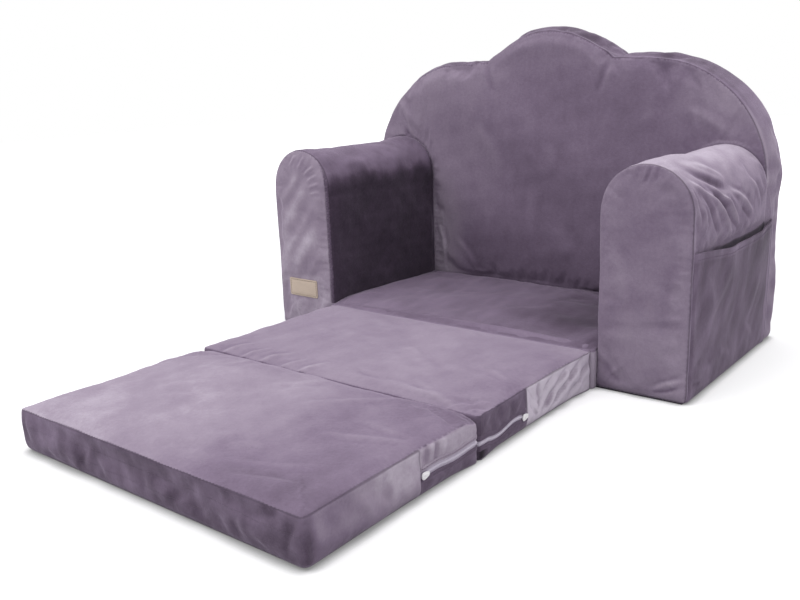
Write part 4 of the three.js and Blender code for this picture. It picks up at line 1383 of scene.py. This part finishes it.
def make_pocket(folds):
    """The patch pocket: its mouth sags and stands off the arm, with a turned hem along it."""
    low, high = pocket_low, pocket_high
    run = high.y - low.y

    def spot(up, across):
        y = low.y + run * across
        rise = up ** 0.92
        z = low.z + (mouth_height(y) - low.z) * rise
        edge = smoothstep(0.0, POCKET_EDGE, min(y - low.y, high.y - y))
        bulge = POCKET_BULGE * (1 - abs(2 * across - 1) ** 4) * rise
        tuck = ARM_TUCK_DEPTH * drawn_in(z, ARM_TUCK_RISE)
        return (ARM_OUTER - POCKET_SINK + (CLOTH_THICKNESS + POCKET_AIR) * edge + bulge - tuck, y, z)

    grid = grid_of(84, 116, spot)
    flat = grid.reshape(-1, 3)
    y, z = flat.T[1:]
    fall = mouth_height(y) - z
    inner = smoothstep(0.0, 0.02, y - low.y) * smoothstep(0.0, 0.02, high.y - y) * smoothstep(0.0, 0.03, z)
    facing = np.broadcast_to([1.0, 0.0, 0.0], flat.shape)
    creases = fold_depths(flat, facing, folds) * inner
    shift = np.maximum(0.0006 * Field(151, 0.07)(flat) * inner + creases, -0.0008)
    turned = smoothstep(HEM, HEM - 0.001, fall)
    flat[:, 0] += shift + (HEM_RISE * turned - HEM_SINK * bell(fall - STITCH_LINE, 0.0012)) * inner
    piece = sheet_piece("pocket_panel", grid, CLOTH_THICKNESS, (-1, 0, 0))
    points = coordinates(piece.data)
    streaks = brushed(slanted(points), 153, 0.026, 0.038, (1.0, 1.0, 2.6))
    clouds = brushed(slanted(points), 155, 0.08, 0.036, (1.0, 1.0, 1.6))
    # painted highlight and shade on the pocket's folds, from their depth
    tone = shaded(points, 0.29 + streaks + clouds + np.tile(0.10 * turned + 0.6 * FOLD_SHADE * creases, 2),
                  (-0.13, ("y", -0.06, 0.10), ("z", 0.02, 0.1)),
                  (0.12, ("y", low.y + 0.03, low.y)))
    tinted(piece, tone, np.minimum(points[:, 1] - low.y, high.y - points[:, 1]) + 0.0006)
    dress(piece, "velour", "sofa_body", VELOUR, stands_for=["pocket_panel_right"])
    row = np.abs(fall.reshape(grid.shape[:2])[:, grid.shape[1] // 2] - STITCH_LINE).argmin()
    path = [Vector(p) for p in grid[row, 2:-2]]
    seam = stitches("pocket_hem_stitches", path, [Vector((1, 0, 0))] * len(path))
    dress(seam, "velour", "sofa_body", THREAD)


ROLL_CROWN = 0.0043  # the roll follows the crown of the slab behind it


def make_roll():
    """The rolled fold of the mattress cover along the seat's front edge."""
    low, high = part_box("seat_front_roll")
    middle_y, half_depth = (low.y + high.y) / 2, (high.y - low.y) / 2
    wobble, bump = Wave(91, 0.05), Wave(92, 0.018)
    rings = []
    for share in np.linspace(0, 1, 160):
        x = low.x + (high.x - low.x) * share
        ends = math.sin(math.pi * min(share, 1 - share, 0.02) / 0.04)
        swell = 0.0016 + 0.0026 * smoothstep(-0.08, 0.16, x) + 0.0006 * wobble(x + 3) + 0.0003 * bump(x)
        crown = ROLL_CROWN * (1 - (abs(x) / SLAB_HALF) ** CROWN_POWER)
        ring = []
        for turn in np.linspace(0, 2 * math.pi, 16, endpoint=False):
            y = middle_y + math.cos(turn) * half_depth * (0.9 + 0.08 * wobble(x)) * ends
            rise = max(math.sin(turn), 0.0) ** 2.2 + 0.2 * min(math.sin(turn), 0.0)
            lip = 1 - 0.9 * smoothstep(0.1, 1.0, -math.cos(turn))
            z = SEAM_TOP + crown * lip - 0.001 + rise * swell * (0.4 + 0.6 * ends)
            ring.append((x, y, z))
        rings.append(ring)
    piece = tube("seat_edge_roll", rings)
    x, y, z = coordinates(piece.data).T
    on_front = smoothstep(0.002, -0.003, y - middle_y)
    # painted highlight: the roll's front face and its right half are lighter
    tone = 0.39 + 0.13 * smoothstep(-0.10, 0.16, x) * (0.5 + 0.5 * on_front)
    # painted shade: dark at the roll's right end, in the hole beside the arm
    tinted(piece, tone - 0.5 * smoothstep(high.x - 0.007, high.x - 0.003, x))
    dress(piece, "velour", "sofa_body", VELOUR, stands_for=["seat_front_roll"])


make_roll()


def make_base():
    """The lining under the back, the arms and the seat."""
    panel = bmesh.new()
    panel.from_mesh(NODES["base_panel"].data)
    bmesh.ops.dissolve_limit(panel, angle_limit=0.01, verts=panel.verts, edges=panel.edges)
    mesh = bpy.data.meshes.new("underside_lining")
    panel.to_mesh(mesh)
    panel.free()
    piece = linked("underside_lining", mesh)
    dress(piece, "lining", "sofa_body", LINING, stands_for=["base_panel"])
    shade_smooth(piece, False)


make_base()

# Zips, hinge webs and the sewn patch


class Path:
    """A line through points, with ways that turn along it."""

    def __init__(self, points, *ways):
        self.values = (points, *ways)
        self.runs = np.r_[0.0, np.cumsum([(b - a).length for a, b in zip(points, points[1:])])]
        self.length = self.runs[-1]

    def at(self, run):
        """The point and the ways at a distance along the line."""
        k = min(max(int(np.searchsorted(self.runs, run)) - 1, 0), len(self.runs) - 2)
        share = (run - self.runs[k]) / max(self.runs[k + 1] - self.runs[k], 1e-9)
        return [values[k].lerp(values[k + 1], share) for values in self.values]


def swept(name, centres, out_ways, up_ways, section):
    """A solid strip: a section of (out, up) points carried along a path of centres."""
    return tube(name, [[centre + out_way * out + up_way * up for out, up in section]
                       for centre, out_way, up_way in zip(centres, out_ways, up_ways)])


def joined(name, pieces):
    """One piece from several that have the same material."""
    points, faces = [], []
    for piece in pieces:
        start = len(points)
        mesh = piece.data
        points += [tuple(v.co) for v in mesh.vertices]
        faces += [tuple(start + k for k in p.vertices) for p in mesh.polygons]
        bpy.data.objects.remove(piece)
        bpy.data.meshes.remove(mesh)
    return new_piece(name, points, faces)


CAPSULE_PLACES = (0.0, 0.2, 0.5, 0.8, 1.0)  # shares of a stitch's length
CAPSULE_WIDTHS = (0.35, 0.9, 1.0, 0.9, 0.35)  # shares of the thread's radius
CAPSULE_SIDES = 6


def capsule(start, end, radius):
    """The points of one stitch of thread, thin at both ends where it enters the cloth."""
    way = (end - start).normalized()
    side = way.orthogonal().normalized()
    other = way.cross(side)
    points = []
    for place, width in zip(CAPSULE_PLACES, CAPSULE_WIDTHS):
        for k in range(CAPSULE_SIDES):
            turn = 2 * math.pi * k / CAPSULE_SIDES
            out = side * math.cos(turn) + other * math.sin(turn)
            points.append(start.lerp(end, place) + out * radius * width)
    return points


def stitches(name, path, out_ways, length=0.0032, gap=0.0010, radius=0.00035):
    """A row of stitches along a path."""
    line = Path(path, out_ways)

    def thread_end(run):
        point, out = line.at(run)
        return point + out * radius * 0.4

    count = int(line.length // (length + gap))
    pitch = line.length / count
    sides = tube_faces(len(CAPSULE_PLACES), CAPSULE_SIDES)
    points, faces = [], []
    for s in range(count):
        faces += [tuple(len(points) + k for k in face) for face in sides]
        points += capsule(thread_end(s * pitch + gap / 2), thread_end((s + 1) * pitch - gap / 2), radius)
    return new_piece(name, points, faces)


def half_round(width, rise, sink, steps=8):
    """A section with a round outer side, from its lower edge to its upper one."""
    turns = [math.pi * k / steps - math.pi / 2 for k in range(steps + 1)]
    arch = [(rise * math.cos(t), width / 2 * math.sin(t)) for t in turns]
    return arch + [(-sink, width / 2), (-sink, -width / 2)]


ZIP_RECESS = 0.0007
ZIP_OPENING = {"end": 0.0088, "middle": 0.0064, "back": 0.0090}  # between the folded edges of the cloth
TAPE_THICKNESS, TAPE_OVERLAP = 0.0005, 0.001
COIL_WIDTH, COIL_RISE, COIL_PITCH = 0.0034, 0.0013, 0.0015
COIL_SWELLS = (0.62, 1.0, 0.62, 0.42)  # over one pitch
LIP_REACH, LIP_RISE, LIP_SINK = 0.0097, 0.0006, 0.0022


def zip_route(cushion_piece, plan, ways, height):
    """The zip's centre line on the cloth's face, with its outward directions."""
    tree = tree_of(cushion_piece.data)
    centres, outs, offsets = [], [], []
    for (x, y), way in zip(plan, ways):
        centre, out = Vector((x, y, height(x, y))), Vector((*way, 0))
        reach = []
        for rise in (-0.011, 0.011):
            start = centre + Vector((0, 0, rise))
            hit = tree.ray_cast(start + out * 0.03, -out, 0.06)[0]
            if hit is not None:
                reach.append((hit - start).dot(out))
        centres.append(centre)
        outs.append(out)
        offsets.append(sum(reach) / len(reach) if reach else 0.0)
    smooth = np.convolve(np.pad(offsets, 3, mode="edge"), np.ones(7) / 7, "valid")
    return [centre + out * float(offset) for centre, out, offset in zip(centres, outs, smooth)], outs


def coil_rings(centres, outs, ups):
    """The sections of a closed coil: a half round that swells and shrinks once a pitch."""
    path = Path(centres, outs, ups)
    count = int(path.length / COIL_PITCH) * len(COIL_SWELLS)
    rings = []
    for k in range(count + 1):
        centre, out, up = path.at(path.length * k / count)
        out, up = out.normalized(), up.normalized()
        swell = COIL_SWELLS[k % len(COIL_SWELLS)]
        ring = []
        for turn in np.linspace(-math.pi / 2, math.pi / 2, 7):
            rise = COIL_RISE * swell * math.cos(turn) - ZIP_RECESS
            side = COIL_WIDTH / 2 * (0.75 + 0.25 * swell) * math.sin(turn)
            ring.append(centre + out * rise + up * side)
        for side in (0.3, -0.3):
            ring.append(centre - out * (ZIP_RECESS + 0.0003) + up * COIL_WIDTH * side)
        rings.append(ring)
    return rings


def make_zip(name, body, centres, outs, lip_tones):
    """The tapes, the closed coil and the folded cloth edges beside them. lip_tones are the tones of
    the upper and the lower edge."""
    ups = []
    for k, out in enumerate(outs):
        up = out.cross(centres[min(k + 1, len(centres) - 1)] - centres[max(k - 1, 0)]).normalized()
        ups.append(up if up.z >= 0 else -up)
    opening = ZIP_OPENING[name] / 2
    half, lip_width = opening + TAPE_OVERLAP, LIP_REACH - opening
    face, back = -ZIP_RECESS, -ZIP_RECESS - TAPE_THICKNESS
    tape = swept(f"{name}_zip_tape", centres, outs, ups, [
        (face, -half), (face, -COIL_WIDTH / 2), (face + 0.0001, 0.0), (face, COIL_WIDTH / 2),
        (face, half), (back, half), (back, -half)])
    dress(tape, "zip_tape", body, TAPE, stands_for=[f"{name}_zip_chain"])
    dress(tube(f"{name}_zip_coil", coil_rings(centres, outs, ups)), "zip_slider", body, COIL)
    lips = []
    for word, sign in (("upper", 1), ("lower", -1)):
        line = [centre + up * sign * (opening + lip_width / 2) for centre, up in zip(centres, ups)]
        lips.append(swept("lip", line, outs, ups, half_round(lip_width, LIP_RISE, LIP_SINK)))
        thread_line = [point + out * LIP_RISE * 0.9 for point, out in zip(line, outs)]
        dress(stitches(f"{name}_zip_stitches_{word}", thread_line, outs), "velour", body, THREAD)
    facings = outward(joined(f"{name}_zip_facings", lips))
    tinted(facings, np.repeat(lip_tones, len(facings.data.vertices) // 2))
    dress(facings, "velour", body, VELOUR)


def round_corner_plan(half, end_y, corner, reach_y, step=0.003):
    """The zip's way seen from above: along the right side, across the end and back along the left
    side. end_y is the slab's end, reach_y where the zip starts."""
    sign = math.copysign(1, end_y - reach_y)
    side = [(half, reach_y + sign * d) for d in np.arange(0, abs(end_y - reach_y) - corner, step)]
    ways = [(1.0, 0.0)] * len(side)
    for turn in np.linspace(0, math.pi / 2, 9)[1:-1]:
        c, s = math.cos(turn), math.sin(turn)
        side.append((half - corner + corner * c, end_y - sign * corner * (1 - s)))
        ways.append((c, sign * s))
    across = [(x, end_y) for x in np.linspace(half - corner, corner - half, int(2 * half / step))]
    plan = side + across + [(-x, y) for x, y in reversed(side)]
    return plan, ways + [(0.0, sign)] * len(across) + [(-x, y) for x, y in reversed(ways)]


def make_slab_zip(name, cushion_piece, end_y, lip_tones):
    low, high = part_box(f"{name}_zip_chain")
    reach_y = low.y + 0.0005 if end_y > low.y + 0.01 else high.y - 0.0005
    plan, ways = round_corner_plan(SLAB_HALF, end_y, JOINED_CORNER, reach_y)
    make_zip(name, f"{name}_slab", *zip_route(cushion_piece, plan, ways, zip_line(name)), lip_tones)


def make_back_zip():
    low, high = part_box("back_zip_chain")
    height = (low.z + high.z) / 2
    plan = [(x, Y_REAR) for x in np.arange(high.x - 0.0005, low.x + 0.0005, -0.004)]
    route = zip_route(back_cushion, plan, [(0.0, 1.0)] * len(plan), lambda x, y: height)
    make_zip("back", "sofa_body", *route, (0.5, 0.5))


SLIDER_LENGTH, SLIDER_WIDTH, SLIDER_RISE = 0.014, 0.0092, 0.0024
SLIDER_SHARES = [  # of the length, the width and the rise, from the tail's end
    (0.0, 0.30, 0.35), (0.03, 0.62, 0.75), (0.10, 0.86, 0.95), (0.22, 1.0, 1.0), (0.38, 0.97, 1.0),
    (0.55, 0.84, 0.98), (0.72, 0.70, 0.92), (0.88, 0.60, 0.80), (0.97, 0.48, 0.60), (1.0, 0.25, 0.28)]
SLIDER_SINK = 0.0003
BRIDGE_REACH, BRIDGE_HEIGHT, BRIDGE_RISE = 0.0034, 0.0013, 0.60
BRIDGE_THICKNESS, BRIDGE_WIDTH = 0.0006, 0.0011  # halves of its section


def make_slider(name, along, out):
    """A small moulded slider: two wings, a narrow tail and a bridge on top, with no pull tab."""
    node = f"{name}_zip_slider"
    low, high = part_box(node)
    along, out, up = Vector(along), Vector(out), Vector((0, 0, 1))
    base = (low + high) / 2
    base += out * (high.dot(out) - SLIDER_RISE + SLIDER_SINK - base.dot(out))
    rings = []
    for share, wide, tall in SLIDER_SHARES:
        centre = base + along * SLIDER_LENGTH * (share - 0.5)
        ring = []
        for turn in np.linspace(0, 2 * math.pi, 20, endpoint=False):
            c, s = math.cos(turn), math.sin(turn)
            across = math.copysign(abs(c) ** 0.7, c) * SLIDER_WIDTH / 2 * wide
            lift = SLIDER_RISE * tall * (0.5 + 0.5 * math.copysign(abs(s) ** 0.6, s))
            ring.append(centre + up * across + out * lift * 0.78)
        rings.append(ring)
    arch = []
    for turn in np.linspace(0, math.pi, 13):
        lift = SLIDER_RISE * BRIDGE_RISE + BRIDGE_HEIGHT * math.sin(turn)
        arch.append(base - along * BRIDGE_REACH * math.cos(turn) + out * lift)
    ways = [(b - a).cross(up).normalized() for a, b in zip(arch[:1] + arch, arch[1:] + arch[-1:])]
    section = arc((0, 0), 1, 0, 2 * math.pi, 10)[:-1]
    section = [(BRIDGE_THICKNESS * c, BRIDGE_WIDTH * s) for c, s in section]
    bridge = swept("bridge", arch, ways, [up] * len(arch), section)
    piece = joined(f"{name}_slider_body", [tube("shell", rings), bridge])
    dress(piece, "zip_slider", f"{name}_slider", SLIDER, stands_for=[node])


make_slab_zip("end", end_cushion, end_high.y, (0.78, 0.34))
make_slab_zip("middle", middle_cushion, middle_low.y, (0.31, 0.31))
make_slider("end", (0, 1, 0), (1, 0, 0))
make_slider("middle", (0, 1, 0), (1, 0, 0))
make_back_zip()
make_slider("back", (1, 0, 0), (0, 1, 0))


PATCH_THICKNESS, PATCH_CORNER, PATCH_INSET = 0.0011, 0.0022, 0.0026
PATCH_PILLOW, STITCH_SINK = 0.0005, 0.0004


def make_patch():
    """A plain woven patch, sewn on near its edge. It carries nothing."""
    tree = tree_of(left_arm.data)
    middle, half = (patch_low + patch_high) / 2, (patch_high - patch_low) / 2
    border = Wave(131, 0.009)

    def on_arm(across, up, lift):
        """A place on the patch with rounded corners, for shares from its middle to its edges."""
        x, z = across * half.x, up * half.z
        over_x = max(abs(x) - half.x + PATCH_CORNER, 0.0)
        over_z = max(abs(z) - half.z + PATCH_CORNER, 0.0)
        if over_x > 0 and over_z > 0:
            excess = 1 - min(1.0, PATCH_CORNER / math.hypot(over_x, over_z))
            x -= math.copysign(over_x * excess, x)
            z -= math.copysign(over_z * excess, z)
        x, z = middle.x + x, middle.z + z
        hit = tree.ray_cast(Vector((x, -0.3, z)), Vector((0, 1, 0)))[0]
        return Vector((x, hit.y - lift(x + z), z))

    def spot(up, across):
        away = 2 * min(min(across, 1 - across) * half.x, min(up, 1 - up) * half.z)
        pillow = PATCH_PILLOW * smoothstep(PATCH_INSET, PATCH_INSET + 0.006, away)
        pillow -= STITCH_SINK * bell(away - PATCH_INSET, 0.0008)
        return on_arm(2 * across - 1, 2 * up - 1,
                      lambda place: 0.0002 + PATCH_THICKNESS + pillow + 0.0001 * border(place))

    patch = sheet_piece("sewn_patch", grid_of(23, 45, spot), PATCH_THICKNESS, (0, 1, 0))
    dress(patch, "label_patch", "sofa_body", LABEL, stands_for=["arm_label_patch"])
    u, v = 1 - PATCH_INSET / half.x, 1 - PATCH_INSET / half.z
    path = []
    for start, end in (((-u, -v), (u, -v)), ((u, -v), (u, v)), ((u, v), (-u, v)), ((-u, v), (-u, -v))):
        for share in np.linspace(0, 1, 12, endpoint=False):
            across, up = np.array(start) * (1 - share) + np.array(end) * share
            path.append(on_arm(across, up, lambda place: PATCH_THICKNESS + 0.0001))
    path.append(path[0])
    seam = stitches("patch_stitches", path, [Vector((0, -1, 0))] * len(path), 0.0026, 0.0009)
    dress(seam, "label_patch", "sofa_body", PATCH_THREAD)


make_patch()
make_pocket([
    *folds_on(
        "right",
        (-160, 185, -120, 120, 11, 1),
        (-60, 175, -130, 110, 12, 1.2),
        (10, 150, -50, 80, 12, -0.8),
        (90, 140, 30, 60, 13, 0.8),
        (-184, 28, -146, 22, 3.5, -2),
        (-178, 46, -108, 30, 5.5, 2),
        (-90, 50, -30, 30, 7, 1.4),
        (20, 60, 80, 30, 7, 1.2),
    ),
])


WEB_REACH, WEB_THICKNESS, WEB_MARGIN = 0.006, 0.0012, 0.003


def make_web(name, line_y, height, dip, tone):
    """The cloth that joins two cushions along their common edge."""
    wobble = Wave(141, 0.02)

    def spot(up, across):
        x = (SLAB_HALF - WEB_MARGIN) * (2 * across - 1)
        rise = dip * math.sin(math.pi * up) ** 2 * (1 + 0.15 * wobble(x))
        return (x, line_y - WEB_REACH * (2 * up - 1), height + rise)

    piece = sheet_piece(name, grid_of(13, 120, spot), WEB_THICKNESS, (0, 0, math.copysign(1, dip)))
    tinted(piece, tone)
    dress(piece, "velour", None, VELOUR)
    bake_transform(piece)


make_web("top_hinge_web", Y_SEAT_SEAM, SEAM_TOP - 0.0030, 0.0026, 0.50)
make_web("bottom_hinge_web", Y_MIDDLE_SEAM, 0.0008, 0.0040, 0.20)


# Floor, light and camera


FLOOR_HALF = 6


def make_stage():
    """A pale floor that keeps the object's shadow, and a white world round it."""
    corners = [(x * FLOOR_HALF, y * FLOOR_HALF, 0) for x, y in ((-1, -1), (1, -1), (1, 1), (-1, 1))]
    floor = new_piece("floor", corners, [(0, 1, 2, 3)])
    material, n = new_material("floor")
    # painted contact shadow: ambient occlusion darkens the floor's colour and its glow next to the sofa
    near = n.add("AmbientOcclusion", Distance=0.016)
    near.samples = 12
    open_share = n.ranged(near.outputs["AO"], (0.35, 0.86), (0.38, 1.0))
    n.set(n.shader, Base_Color=n.blend(1.0, (0.62, 0.62, 0.63, 1.0), open_share, "MULTIPLY"),
          Roughness=0.95, Specular_IOR_Level=0.0)
    distance = n.add("VectorMath", _0=n.place())
    distance.operation = "LENGTH"
    far = n.ranged(distance.outputs["Value"], (0.9, 2.0), (0.5, 1.0))
    strength = n.math("MULTIPLY", n.math("MULTIPLY", n.seen(), open_share), far)
    glow = n.add("Emission", Color=(1, 1, 1, 1), Strength=strength)
    both = n.add("AddShader", _0=n.shader.outputs[0], _1=glow.outputs[0])
    n.set(n.tree.nodes["Material Output"], Surface=both.outputs[0])
    floor.data.materials.append(material)
    world = bpy.data.worlds.new("studio")
    bpy.context.scene.world = world
    n = Nodes(world, "Background")
    n.set(n.shader, Color=(1, 1, 1, 1), Strength=n.ranged(n.seen(), (0.0, 1.0), (0.48, 1.0)))


def area_lamp(name, place, target, size, power):
    data = bpy.data.lights.new(name, "AREA")
    data.shape = "DISK"
    data.size = size
    data.energy = power
    lamp = linked(name, data)
    lamp.location = place
    lamp.rotation_euler = (Vector(target) - Vector(place)).to_track_quat("-Z", "Y").to_euler()


make_stage()
area_lamp("key", (-1.3, -2.4, 2.6), (0, -0.2, 0.1), 2.8, 58.0)
area_lamp("top", (0.2, 0.4, 2.8), (0, -0.3, 0.0), 2.8, 44.0)
area_lamp("side", (2.6, -0.6, 1.3), (0, 0, 0.2), 1.8, 14.0)

CAMERA_PLACE = (0.7803, -1.2926, 0.4525)
YAW, PITCH, ROLL = math.radians(38.71), math.radians(14.66), math.radians(-2.04)
FOCAL_PIXELS, PHOTO_WIDTH, SENSOR = 878.4, 800.0, 36.0


def make_camera():
    ahead = Vector((-math.sin(YAW) * math.cos(PITCH), math.cos(YAW) * math.cos(PITCH), -math.sin(PITCH)))
    right = Vector((math.cos(YAW), math.sin(YAW), 0.0))
    up = right.cross(ahead)
    side = right * math.cos(ROLL) + up * math.sin(ROLL)
    top = up * math.cos(ROLL) - right * math.sin(ROLL)
    turn = Matrix((side, top, -ahead)).transposed()
    data = bpy.data.cameras.new("camera")
    data.sensor_fit = "HORIZONTAL"
    data.sensor_width = SENSOR
    data.lens = FOCAL_PIXELS * SENSOR / PHOTO_WIDTH
    data.clip_end = 50.0
    camera = linked("camera", data)
    camera.matrix_world = Matrix.Translation(CAMERA_PLACE) @ turn.to_4x4()
    bpy.context.scene.camera = camera


make_camera()
bpy.context.scene.view_settings.view_transform = "Standard"
